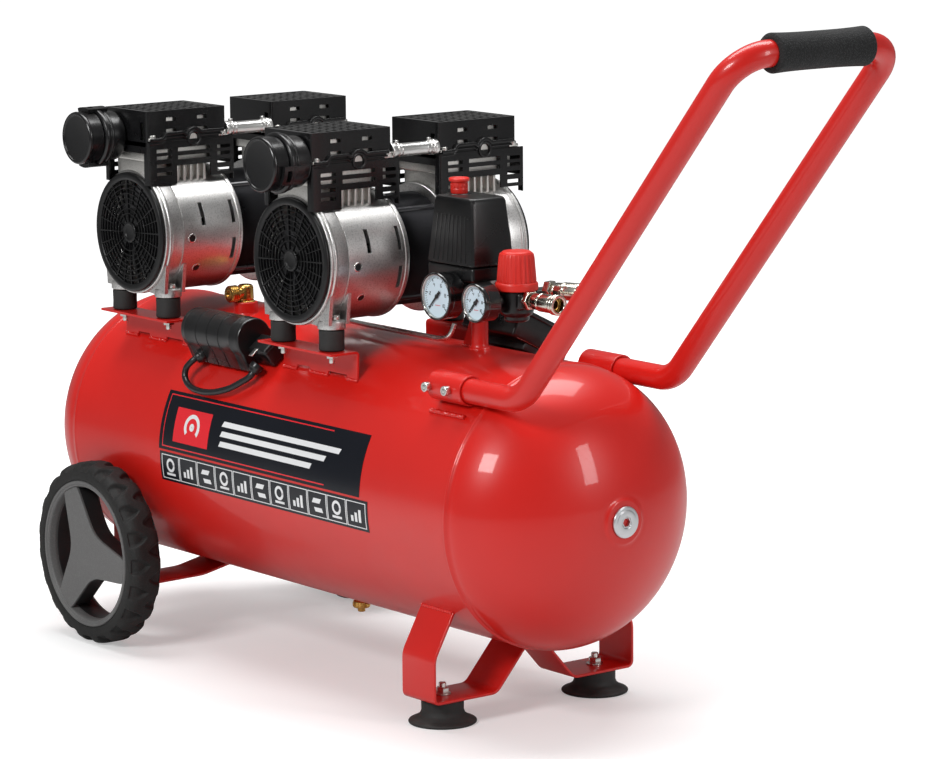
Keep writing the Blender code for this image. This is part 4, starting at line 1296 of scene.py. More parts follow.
@dataclass
class Handle:
    """Bent tube handle with a foam grip."""

    shop: Workshop
    tank: Tank
    bend: tuple[float, float] = (391.7, 340.6)
    top: tuple[float, float] = (699.0, 691.7)
    radius: float = 12.5
    bends: tuple[float, float] = (44.0, 36.0)
    grip_half: float = 58.5

    def centre_line(self) -> np.ndarray:
        """The bar's line, with round bends of the real radii.

        A bend of radius r between two straights starts r * tan(half the angle) from the corner,
        and its points are centre + (start - centre) cos a + e cos(90 - a).

        Returns:
            The points of the line.
        """
        y, z = self.tank.socket_y, self.tank.socket_z
        x0 = self.tank.socket_ends[0] + 4.3
        half = [(x0, z), self.bend, self.top]
        corners = np.array([(x, -y, h) for x, h in half] + [(x, y, h) for x, h in reversed(half)])
        radii = [self.bends[0], self.bends[1], self.bends[1], self.bends[0]]
        line = [corners[:1]]
        for before, corner, after, radius in zip(corners, corners[1:], corners[2:], radii):
            inward, outward = unit(before - corner), unit(after - corner)
            half_angle = math.acos(float(inward @ outward)) / 2
            reach = radius / math.tan(half_angle)
            start = corner + inward * reach
            centre = corner + unit(inward + outward) * radius / math.sin(half_angle)
            e1, span = unit(start - centre), math.pi - 2 * half_angle
            e2 = -inward
            a = np.linspace(0, span, 15)[:, None]
            line.append(centre + radius * (e1 * np.cos(a) + e2 * np.sin(a)))
        return np.concatenate(line + [corners[-1:]])

    def build(self) -> None:
        """Makes the bar and its grip."""
        path = self.centre_line()
        sketch = Sketch().swept(path, circle(self.radius, 40), up=(-0.88, 0.0, 0.47))
        self.shop.make("handle_tube", sketch, RED, replaces=["handle_bar"], smooth=50)
        h = np.linspace(-self.grip_half, self.grip_half, 90)
        swell = 17.3 + 1.3 * np.abs(h / self.grip_half) ** 3
        rim = np.sqrt(np.clip(1 - np.clip((np.abs(h) - self.grip_half + 3) / 3, 0, 1) ** 2, 0, 1))
        skin = self.radius + 0.4 + (swell - self.radius - 0.4) * np.maximum(rim, 0.25)
        profile = list(zip(skin, h)) + [(self.radius + 0.3, self.grip_half),
                                        (self.radius + 0.3, -self.grip_half)]
        grip = Sketch().turned(profile, (self.top[0], 0, self.top[1]), Axis.Y, 64, ring=True)
        self.shop.make("foam_grip", grip, FOAM, replaces=["handle_grip"], smooth=50)


# ---------------------------------------------------------------- motor-pump units

@dataclass
class Casing:
    """Rounded rectangular wall, upright, with openings in its four faces.

    The wall is laid out along its own perimeter, which starts on the +x face at low y and
    goes round by the +y, -x and -y faces.
    """

    x: tuple[float, float]
    y: tuple[float, float]
    z: tuple[float, float]
    corner: float = 2.5
    wall: float = 2.0
    openings: list[tuple[float, float, float, float]] = field(default_factory=list)

    def __post_init__(self) -> None:
        """Works out where each face starts along the perimeter."""
        self.long = self.y[1] - self.y[0] - 2 * self.corner
        self.short = self.x[1] - self.x[0] - 2 * self.corner
        self.arc = self.corner * math.pi / 2
        self.starts = {"+x": 0.0, "+y": self.long + self.arc, "-x": self.long + self.short + 2 * self.arc,
                       "-y": 2 * self.long + self.short + 3 * self.arc}
        self.length = 2 * (self.long + self.short) + 4 * self.arc

    def open(self, face: str, low: float, high: float, z0: float, z1: float) -> None:
        """Cuts an opening.

        Args:
            face: "+x", "-x", "+y" or "-y".
            low: its lower edge along the face, as y or x.
            high: its upper edge along the face.
            z0: its bottom.
            z1: its top.
        """
        base = self.starts[face]
        ends = {"+x": (low - self.y[0] - self.corner, high - self.y[0] - self.corner),
                "-x": (self.y[1] - self.corner - high, self.y[1] - self.corner - low),
                "+y": (self.x[1] - self.corner - high, self.x[1] - self.corner - low),
                "-y": (low - self.x[0] - self.corner, high - self.x[0] - self.corner)}[face]
        self.openings.append((base + ends[0], base + ends[1], z0, z1))

    def place(self, s: np.ndarray, z: np.ndarray, w: np.ndarray) -> np.ndarray:
        """Points at a distance round the perimeter, a height, and inside or outside the wall.

        On a corner the point is centre + normal * radius, and the normal turns evenly.
        """
        (x0, x1), (y0, y1), r = self.x, self.y, self.corner
        turn = np.linspace(0, np.pi / 2, 6)
        knots, points, normals = [], [], []
        faces = (("+x", (x1 - r, y1 - r), 0.0), ("+y", (x0 + r, y1 - r), np.pi / 2),
                 ("-x", (x0 + r, y0 + r), np.pi), ("-y", (x1 - r, y0 + r), 1.5 * np.pi))
        spans = {"+x": self.long, "+y": self.short, "-x": self.long, "-y": self.short}
        for face, centre, angle in faces:
            a = angle + turn
            normal = np.stack([np.cos(a), np.sin(a)], -1)
            knots.append(self.starts[face] + spans[face] + r * turn)
            points.append(np.array(centre) + normal * r)
            normals.append(normal)
        knot = np.concatenate(knots)
        table = np.concatenate([np.concatenate(points), np.concatenate(normals)], 1)
        knot = np.concatenate([[knot[-1] - self.length], knot])
        table = np.concatenate([table[-1:], table])
        px, py, nx, ny = (np.interp(s, knot, table[:, k]) for k in range(4))
        depth = (w - 1) * self.wall
        return np.stack([px + nx * depth, py + ny * depth, z], -1)

    def add_to(self, sketch: Sketch) -> None:
        """Adds the pierced wall to a sketch."""
        corners = [self.starts[f] + k * self.arc / 5 for f in ("+y", "-x", "-y") for k in range(-5, 1)]
        corners += [self.length - self.arc + k * self.arc / 5 for k in range(6)]
        spans = [(a, b) for a, b, _, _ in self.openings] + [(c, c) for c in corners]
        us = breaks(*spans, low=0.0, high=self.length)
        vs = breaks(*[(max(a, self.z[0]), b) for _, _, a, b in self.openings], low=self.z[0], high=self.z[1])
        solid = plate(us, vs, self.openings)
        sketch.pierced(us[:-1], vs, solid, self.place, wrap=True)


def plate(us: np.ndarray, vs: np.ndarray,
          openings: Iterable[tuple[float, float, float, float]]) -> np.ndarray:
    """Which cells of a sheet are plate: those whose middle is in no opening."""
    u, v = np.meshgrid((us[:-1] + us[1:]) / 2, (vs[:-1] + vs[1:]) / 2, indexing="ij")
    solid = np.ones(u.shape, bool)
    for u0, u1, v0, v1 in openings:
        solid &= ~((u > u0) & (u < u1) & (v > v0) & (v < v1))
    return solid


@dataclass
class Head:
    """Black cover over one cylinder: pierced lid and walls, gasket lip, shroud and the casting inside."""

    shop: Workshop
    unit: str
    x: float
    end: End
    half: float = 40.3
    depth: float = 101.6
    split: float = 544.4
    top: float = 578.6
    foot: float = 499.0
    tail: float = 10.0

    def __post_init__(self) -> None:
        """Finds where the cover starts: every head is the same part, not mirrored."""
        self.y0 = -132.0 if self.end is End.NEAR else 30.4
        self.tag = f"{self.unit}_{self.end.label}"

    def cover(self) -> None:
        """Upper cover with its slots, and the lower shroud with its legs."""
        x0, x1 = self.x - self.half, self.x + self.half
        y0, y1 = self.y0, self.y0 + self.depth
        upper = Casing((x0, x1), (y0, y1), (self.split - 4, self.top - 0.4))
        lower = Casing((x0 - 1.6, x1 + 1.6), (y0, y1 + self.tail), (self.foot, self.split + 0.6))
        for face in ("+x", "-x"):
            for share in (0.31, 0.70):
                middle = y0 + share * self.depth
                for z in (556.2, 568.6):
                    upper.open(face, middle - 6.5, middle + 6.5, z - 2.0, z + 2.0)
            reach = self.depth + self.tail
            for z in (510.5, 519.5, 528.0, 535.2):
                for a, b in ((0.10, 0.27), (0.80, 0.95)):
                    lower.open(face, y0 + a * reach, y0 + b * reach, z - 1.9, z + 1.9)
            for z in (527.0, 535.6):
                lower.open(face, y0 + 0.345 * reach, y0 + 0.715 * reach, z - 2.1, z + 2.1)
            lower.open(face, y0 + 0.33 * reach, y0 + 0.72 * reach, self.foot - 5, 518.5)
            lower.open(face, y0 + 0.72 * reach, y1 + self.tail - 2.6, self.foot - 5, 505.0)
        for face in ("+y", "-y"):
            lower.open(face, self.x - 34, self.x + 34, self.foot - 5, 533.0 if face == "-y" else 516.0)
        upper.open("-y", self.x + 27, self.x + 34, 547.0, 566.0)
        sketch = Sketch()
        upper.add_to(sketch)
        lower.add_to(sketch)
        self.lid(sketch)
        self.lip(sketch)
        self.shop.make(f"head_{self.tag}_cover", sketch, COVER, replaces=[f"head_{self.tag}"], bevel=0.7)

    def lid(self, sketch: Sketch) -> None:
        """Top plate with rows of small slots, inside a fine raised border, and the split's ledge."""
        x0, x1 = self.x - self.half + 1.2, self.x + self.half - 1.2
        y0, y1 = self.y0 + 1.2, self.y0 + self.depth - 1.2
        across = [(self.x + 12.2 * k - 4.7, self.x + 12.2 * k + 4.7) for k in (-2.5, -1.5, -0.5, 0.5, 1.5,
                                                                               2.5)]
        along = [(y0 + 6.0 + 8.9 * k, y0 + 11.6 + 8.9 * k) for k in range(10)]
        us, vs = breaks(*across, low=x0, high=x1), breaks(*along, low=y0, high=y1)
        holes = [(a, b, c, d) for a, b in across for c, d in along]
        sketch.pierced(us, vs, plate(us, vs, holes), lambda u, v, w: np.stack(
            [u, v, self.top - 2.6 + 2.0 * w], -1))
        ledge = slab(1.1, 0.9, 0.3)
        z = self.split + 0.6
        for sign in (-1, 1):
            x = self.x + sign * (self.half + 0.4)
            path = np.array([(x, y, z) for y in np.linspace(y0, y1 + self.tail, 4)])
            sketch.swept(path, ledge)

    def lip(self, sketch: Sketch) -> None:
        """The gasket's stepped lip on both side faces, with its arch and round port."""
        for sign, axis in ((1, Axis.X), (-1, Axis.BACK)):
            x = self.x + sign * (self.half + 0.2)
            y = self.y0
            arch = [(y + 59 + 10.6 * math.cos(t), 546.6 + 10.6 * math.sin(t))
                    for t in np.radians(np.linspace(158, 36, 9))]
            line = [(y + 3, 547.4), (y + 19, 547.8), (y + 23, 553.4), (y + 46, 553.6)] + arch
            line += [(y + 72, 553.4), (y + 97, 553.4)]
            bend = rounded(line, 2.2, 3)
            for drop, thick, proud in ((0.0, 1.7, 3.4), (-4.4, 0.9, 1.8)):
                path = np.column_stack([np.full(len(bend), x), bend + (0, drop)])
                sketch.swept(path, slab(thick, proud, 0.7), up=(1, 0, 0))
            port = rounded([(6.2, 3.6), (8.6, 3.6), (8.6, -3.0), (6.2, -3.0)], 0.6, 2, closed=True)
            sketch.turned(port, (self.x + sign * self.half, y + 59, 546.6), axis, 36, ring=True)

    def casting(self) -> None:
        """Aluminium cylinder and head behind the cover, with upright ribs, and the plated corner screws."""
        sketch = Sketch()
        y0 = self.y0
        sketch.block((self.x - 35, y0 + 6, 543), (self.x + 35, y0 + self.depth - 6, 574.8), 2)
        sketch.block((self.x - 31, y0 + 42, 503), (self.x + 31, y0 + 76, 545), 2)
        sketch.block((self.x - 36.5, y0 + 12, 521), (self.x + 36.5, y0 + self.depth - 4, 541), 1.5)
        for k in range(5):
            y = y0 + 41 + 8.6 * k
            sketch.block((self.x - 37.5, y - 1.6, 500.5), (self.x + 37.5, y + 1.6, 523), 0.8)
        z_case = 506.0
        sketch.block((self.x - 27, y0 + 6, z_case), (self.x + 27, y0 + 34, 530), 2)
        sketch.block((self.x - 36, y0 + 3, 524), (self.x + 36, y0 + 11, 534), 1.5)
        sketch.turned([(0, 2), (5.5, 2), (5.5, -3), (0, -3)], (self.x + self.half - 1.5, y0 + 59, 546.6),
                      Axis.X, 24)
        self.shop.make(f"head_{self.tag}_casting", sketch, ROUGH_CAST, bevel=0.4)
        screws = Sketch()
        head = rounded([(0, 1.0), (1.4, 1.0), (1.4, 3.4), (3.4, 3.4), (3.9, 2.8), (3.9, -1), (0, -1)], 0.25,
                       2)
        for sign in (-1, 1):
            for y in (y0 + 7.5, y0 + self.depth - 3.5):
                screws.turned(head, (self.x + sign * (self.half - 1.0), y, 549.2), Axis.Z, 16)
                screws.block((self.x + sign * (self.half + 0.6) - 2.4, y - 6, 546.6),
                             (self.x + sign * (self.half + 0.6) + 1.0, y + 6, 549.4), 0.7)
        self.shop.make(f"head_{self.tag}_screws", screws, SCREW)

    def build(self) -> None:
        """Makes the whole head."""
        self.cover()
        self.casting()


@dataclass
class MotorUnit:
    """One motor with a pump at each end, standing on four rubber buffers."""

    shop: Workshop
    name: str
    x: float
    filter_dx: float
    clip_turn: float
    z: float = 445.9
    case_r: float = 66.0
    rear: float = 28.0
    front: float = 127.0
    parting: float = 104.0

    def side_point(self, end: End) -> Callable[[np.ndarray, np.ndarray, np.ndarray], np.ndarray]:
        """Gives the mapping from (degrees, distance from the middle plane, radius) to points."""
        def place(turn: np.ndarray, out: np.ndarray, radius: np.ndarray) -> np.ndarray:
            """A point at x + r cos t, side * out, z + r sin t."""
            t = np.radians(turn)
            return np.stack(np.broadcast_arrays(self.x + radius * np.cos(t), end.value * out,
                                                self.z + radius * np.sin(t)), -1)
        return place

    def crankcase(self, end: End) -> None:
        """Cast cup with slots, parting line, double front ring, rear lip and foot lugs."""
        place = self.side_point(end)
        at, toward = (self.x, 0, self.z), Axis.NEAR if end is End.NEAR else Axis.Y
        slots = [(8.0, 30.0, 75.5, 80.5), (8.0, 30.0, 36.8, 41.4), (-27.0, -6.0, 36.8, 41.4)]
        slots += [(180 - b, 180 - a, c, d) for a, b, c, d in slots if a > 0] + [(-174.0, -153.0, 36.8, 41.4)]
        us = breaks(*[(a, b) for a, b, _, _ in slots], low=-180, high=180, step=3.0)
        vs = breaks(*[(c, d) for _, _, c, d in slots], low=self.rear + 3.0, high=self.parting)
        sketch = Sketch()
        sketch.pierced(us[:-1], vs, plate(us, vs, slots), lambda u, v, w: place(u, v, 62.6 + 3.4 * w),
                       wrap=True)
        r, q = self.case_r, self.parting
        band = [(r, q + 0.7), (r, 118.0), (r + 0.9, 119.4), (r + 0.9, 121.4), (r - 0.3, 122.4),
                (r - 0.3, 123.4), (r + 0.5, 124.2), (r + 0.5, 126.4), (r - 0.4, 127.0), (62.6, 127.0),
                (62.6, q + 0.7)]
        sketch.turned(rounded(band, 0.5, 2, closed=True), at, toward, 112, ring=True)
        sketch.turned([(65.2, q - 2), (65.2, q + 3), (63.0, q + 3), (63.0, q - 2)], at, toward, 112,
                      ring=True)
        lip = [(r + 0.7, self.rear + 5.2), (r + 1.1, self.rear + 4.4), (r + 1.1, self.rear + 0.8),
               (r, self.rear), (9.0, self.rear), (9.0, self.rear + 3.5), (61.0, self.rear + 3.5),
               (r - 3, self.rear + 5.2)]
        sketch.turned(rounded(lip, 0.6, 2, closed=True), at, toward, 112, ring=True)
        for sign in (-1, 1):
            self.lug(sketch, end, sign)
        tag = f"{self.name}_{end.label}"
        self.shop.make(f"case_{tag}", sketch, CAST, replaces=[f"crankcase_{tag}"], bevel=0.55, smooth=32)
        self.holes(end)

    def lug(self, sketch: Sketch, end: End, sign: int) -> None:
        """One foot: a round pad over the buffer, and the pocket that holds its bolt.

        Args:
            sketch: where it is added.
            end: which crankcase it belongs to.
            sign: 1 for the foot on the +x side, -1 for the other.
        """
        x, side = self.x + sign * 42.0, end.value
        pad = rounded([(0, 388.6), (13.2, 388.6), (14.4, 387.4), (14.4, 378.9), (0, 378.9)], 0.8, 3)
        sketch.turned(pad, (x, side * 110.0, 0), Axis.Z, 40)
        for y in (96.8, 119.0):
            outline = [(x - sign * 12, 384.0), (x + sign * 13.4, 384.0), (x + sign * 13.8, 391.0),
                       (x + sign * 17.0, 415.0), (x + sign * 12.0, 418.0), (x - sign * 12, 402.0)]
            low, high = sorted((side * y, side * (y + 4.4)))
            sketch.prism(outline, "y", low, high)
        back = [(x - sign * 14, 384.0), (x - sign * 5, 384.0), (x + sign * 4.0, 398.0),
                (x + sign * 14.0, 414.0),
                (x + sign * 9.0, 417.0), (x - sign * 14, 402.0)]
        low, high = sorted((side * 97.0, side * 123.0))
        sketch.prism(back, "y", low, high)
        spine = [(self.x, 384.0), (x, 380.0), (x, 398.0), (self.x, 384.5)]
        low, high = sorted((side * 100.0, side * 120.0))
        sketch.prism(spine, "y", low, high)

    def holes(self, end: End) -> None:
        """Round holes in the case, each a dark disc of painted shade inside a bright turned edge, and the
        foot bolts.
        """
        hole_shades, rims = Sketch(), Sketch()
        for turn, out in ((-3.0, 93.5), (-34.0, 82.0), (183.0, 93.5), (214.0, 82.0)):
            t = math.radians(turn)
            normal = np.array((math.cos(t), 0, math.sin(t)))
            at = np.array((self.x, end.value * out, self.z)) + normal * (self.case_r - 1.4)
            # Each hole is a flat dark disc: painted shade standing for its depth.
            hole_shades.turned([(0, 1.5), (3.9, 1.5), (3.9, -1), (0, -1)], at, normal, 28)
            rims.turned(rounded([(3.7, 1.9), (4.9, 1.6), (5.2, 0.8), (3.7, 0.8)], 0.2, 2, closed=True), at,
                        normal, 28,
                        ring=True)
        tag = f"{self.name}_{end.label}"
        self.shop.make(f"case_{tag}_wells", hole_shades, GUARD)
        bolt = rounded([(0, 393.4), (4.6, 393.4), (5.2, 392.6), (5.2, 388.0), (0, 388.0)], 0.3, 2)
        nut = [(0, 353.6), (6.4, 353.6), (6.4, 348.6), (0, 348.6)]
        stud = rounded([(0, 352.0), (3.0, 352.0), (3.0, 343.6), (2.2, 342.8), (0, 342.8)], 0.3, 2)
        for sign in (-1, 1):
            at = (self.x + sign * 42.0, end.value * 110.0, 0)
            rims.turned(bolt, (at[0] + sign * 6.0, at[1], 0), Axis.Z, 20)
            rims.turned(nut, at, Axis.Z, 6)
            rims.turned(stud, at, Axis.Z, 16)
        self.shop.make(f"case_{tag}_fasteners", rims, SCREW)

    def grille(self, end: End) -> None:
        """Fan guard: smooth outer band, hub, rings, long spokes and short ones between them."""
        place = self.side_point(end)
        at, toward = (self.x, 0, self.z), Axis.NEAR if end is End.NEAR else Axis.Y
        long_spokes = [(k * 30.0 + 3.0 - 0.85, k * 30.0 + 3.0 + 0.85) for k in range(12)]
        short_spokes = [(k * 30.0 + 18.0 - 0.55, k * 30.0 + 18.0 + 0.55) for k in range(12)]
        rings = [(r - 0.45, r + 0.45) for r in (20.0, 25.4, 30.8, 36.2, 41.6, 47.0, 52.0)]
        us = breaks(*long_spokes, *short_spokes, low=0, high=360, step=5.0)
        vs = breaks(*rings, low=10.5, high=57.0)
        u, v = np.meshgrid((us[:-1] + us[1:]) / 2, (vs[:-1] + vs[1:]) / 2, indexing="ij")
        solid = np.zeros(u.shape, bool)
        for a, b in long_spokes:
            solid |= (u > a) & (u < b)
        for a, b in short_spokes:
            solid |= (u > a) & (u < b) & (v > 30.5)
        for a, b in rings:
            solid |= (v > a) & (v < b)
        sketch = Sketch().pierced(us[:-1], vs, solid, lambda a, r, w: place(a, 128.2 + 2.6 * w, r), wrap=True)
        band = [(55.6, 127.5), (55.6, 129.4), (56.4, 130.8), (58.4, 131.6), (61.4, 131.7), (63.6, 130.9),
                (64.3, 129.3), (64.3, 127.5)]
        sketch.turned(rounded(band, 0.7, 3, closed=True), at, toward, 112, ring=True)
        hub = rounded([(0, 129.6), (7.4, 129.6), (8.2, 130.9), (10.4, 130.9), (11.6, 130.0), (11.6, 127.6),
                       (0, 127.6)], 0.5, 2)
        sketch.turned(hub, at, toward, 48)
        tag = f"{self.name}_{end.label}"
        self.shop.make(f"guard_{tag}", sketch, GUARD, replaces=[f"grille_{tag}"], bevel=0.22, segments=1)

    def core(self) -> None:
        """Laminated stator between the two crankcases, and the rotor with a fan at each end."""
        at = (self.x, 0, self.z)
        h = np.linspace(-27.5, 27.5, 93)
        r = 58.0 - 1.2 * (np.arange(93) % 2)
        stack = [(30.2, -27.5)] + list(zip(r, h)) + [(30.2, 27.5)]
        stator = Sketch().turned(stack, at, Axis.Y, 96, ring=True)
        for turn in np.radians((52, 128, 232, 308)):
            path = np.array([(self.x + 57.6 * math.cos(turn), y, self.z + 57.6 * math.sin(turn))
                             for y in (-27.0, 0.0, 27.0)])
            stator.swept(path, circle(3.0, 12))
        self.shop.make(f"stator_{self.name}_stack", stator, WINDING, replaces=[f"stator_{self.name}"],
                       smooth=20)
        fan = Sketch()
        shaft = [(0, 121), (6.4, 121), (7, 120), (7, 25), (29.2, 25)]
        shaft += [(a, -b) for a, b in reversed(shaft)]
        fan.turned(shaft, at, Axis.Y, 40)
        for end in End:
            toward = Axis.NEAR if end is End.NEAR else Axis.Y
            fan.turned([(0, 120), (13, 120), (14, 118.5), (14, 109.5), (49, 109.5), (49, 108.3), (0, 108.3)],
                       at, toward, 72)
            self.blades(fan, end)
        body = f"rotor_{self.name}"
        self.shop.make(f"fan_{self.name}", fan, FAN, body, replaces=[body], smooth=30)

    def blades(self, sketch: Sketch, end: End) -> None:
        """Eleven swept fan blades: each leans back 24 degrees from its root to its tip."""
        place = self.side_point(end)
        radii, outs = np.linspace(13.0, 49.5, 10), np.linspace(109.0, 117.6, 3)
        for k in range(11):
            base = k * 360.0 / 11
            sketch.pierced(radii, outs, np.ones((9, 2), bool), lambda r, o, w: place(
                base + 24.0 * (r - 13.0) / 36.5 + (o - 109.0) * 0.9 + (w - 0.5) * 68.0 / r, o, r))

    def mounts(self, end: End) -> None:
        """Red angle bracket with weld tabs, and the rubber buffers on it."""
        side = end.value
        reach = 145.0
        foot_z = 215.7 + math.sqrt(reach ** 2 - 93.5 ** 2)
        line = rounded([(127.0, 355.0), (92.6, 355.0), (93.6, foot_z - 0.4)], 4.0, 5)
        length = np.concatenate([[0], np.cumsum(np.linalg.norm(np.diff(line, axis=0), axis=1))])
        normal = unit(np.stack([-np.gradient(line[:, 1]), np.gradient(line[:, 0])], -1)) * -1

        def place(x: np.ndarray, s: np.ndarray, w: np.ndarray) -> np.ndarray:
            """A point on the bent plate: the line's point plus its normal times the thickness."""
            y, z = (np.interp(s, length, line[:, k]) for k in (0, 1))
            ny, nz = (np.interp(s, length, normal[:, k]) for k in (0, 1))
            t = (w - 0.5) * 2.5
            return np.stack([x, side * (y + ny * t), z + nz * t], -1)

        low, high = self.x - 64.0, self.x + 64.0
        gaps = [(self.x - 40, self.x - 18), (self.x + 14, self.x + 46)]
        us = breaks(*gaps, low=low, high=high)
        vs = breaks(*[(k, k) for k in length[1:-1]], (length[-1] - 4.0, length[-1]), low=0.0, high=length[-1])
        openings = [(a, b, length[-1] - 4.0, length[-1] + 1) for a, b in gaps]
        sketch = Sketch().pierced(us, vs, plate(us, vs, openings), place)
        x = np.linspace(0, 1, 30)
        for a, b in ((low, gaps[0][0]), (gaps[0][1], gaps[1][0]), (gaps[1][1], high)):
            run = a + (b - a) * x
            path = np.stack([run, np.full_like(run, side * 94.6), np.full_like(run, foot_z - 0.6)], -1)
            sketch.swept(path, circle(1.7, 10), scale=1 + 0.22 * np.sin(run * 2.4))
        tag = f"{self.name}_{end.label}"
        self.shop.make(f"bracket_{tag}_plate", sketch, RED, replaces=[f"bracket_{tag}"], bevel=0.35)
        post = rounded([(0, 378.0), (12.4, 378.0), (13.2, 377.0), (12.9, 367.0), (13.2, 357.8), (12.4, 356.8),
                        (0, 356.8)], 0.7, 3)
        for place_name, sign in (("front", 1), ("rear", -1)):
            rubber = Sketch().turned(post, (self.x + sign * 42.0, side * 110.0, 0), Axis.Z, 48)
            self.shop.make(f"buffer_{tag}_{place_name}_post", rubber, RUBBER,
                           replaces=[f"buffer_{tag}_{place_name}"])

    def intake(self) -> None:
        """Round intake filter on the near head: neck, body, clip band and dished cap."""
        at = (self.x + self.filter_dx, 0, 549.0)
        body = rounded([(0, 158), (26.4, 158), (26.4, 137), (25.2, 134.4), (12, 134.2), (12, 132.6),
                        (0, 132.6)], 0.8, 3)
        sketch = Sketch().turned(body, at, Axis.NEAR, 80)
        band = rounded([(24, 162.4), (28.6, 162.4), (30.6, 161.2), (31.0, 160.2), (31.0, 157.2),
                        (30.4, 156.4),
                        (28.2, 156.0), (28.2, 153.8), (29.2, 153.2), (29.2, 150.8), (28.4, 150.2),
                        (24, 150.2)],
                       0.4, 2, closed=True)
        sketch.turned(band, at, Axis.NEAR, 80, ring=True)
        cap = rounded([(0, 180.4), (24.2, 180.4), (24.8, 181.8), (26.4, 182.0), (27.8, 180.8), (28.2, 178.6),
                       (27.4, 177.6), (27.4, 163.2), (0, 162.0)], 0.6, 3)
        sketch.turned(cap, at, Axis.NEAR, 80)
        for turn in (self.clip_turn, self.clip_turn + 180.0):
            self.clip(sketch, at, turn)
        self.shop.make(f"filter_{self.name}", sketch, COVER, replaces=[f"intake_filter_{self.name}"],
                       smooth=32)

    def clip(self, sketch: Sketch, at: Point, turn: float) -> None:
        """A snap tab that bridges the filter's body and cap: two rails, a bar and a hooked end."""
        def place(a: np.ndarray, out: np.ndarray, w: np.ndarray) -> np.ndarray:
            """A point at an angle round the filter, a distance out, and a little off its skin."""
            t = np.radians(turn + a)
            radius = 28.0 + 4.4 * w
            return np.stack([at[0] + radius * np.cos(t), -out, at[2] + radius * np.sin(t)], -1)
        us = breaks((-15.0, -11.0), (11.0, 15.0), low=-19, high=19, step=3.0)
        vs = breaks((150.0, 153.0), (162.8, 168.0), low=147.5, high=172.0)
        holes = [(-11.0, 11.0, 162.8, 168.0)]
        sketch.pierced(us, vs, plate(us, vs, holes), place)

    def transfer(self) -> None:
        """Bright transfer pipe between the two heads, with collars and spring clips."""
        at = (self.x + 36.0, 0, 553.0)
        half = [(0, 30.0), (7.8, 30.0), (8.2, 29.4), (8.2, 25.0), (6.8, 24.0), (6.8, 17.0), (7.1, 16.4),
                (6.8, 15.8)]
        profile = rounded(half + [(r, -h) for r, h in reversed(half)], 0.4, 2)
        sketch = Sketch().turned(profile, at, Axis.Y, 48)
        for y in (-21.0, 21.0):
            sketch.turned([(7.0 + 0.9 * math.cos(t), y + 0.9 * math.sin(t)) for t in np.linspace(0, 5.6, 9)],
                          at,
                          Axis.Y, 40, ring=True)
            sketch.block((at[0] - 1.6, y - 2.2, 559.5), (at[0] + 1.6, y + 2.2, 563.4), 0.8)
        self.shop.make(f"pipe_{self.name}", sketch, STEEL, replaces=[f"transfer_pipe_{self.name}"])

    def build(self) -> None:
        """Makes the whole unit."""
        for end in End:
            self.crankcase(end)
            self.grille(end)
            Head(self.shop, self.name, self.x, end).build()
            self.mounts(end)
        self.core()
        self.intake()
        self.transfer()


# ---------------------------------------------------------------- outlet group

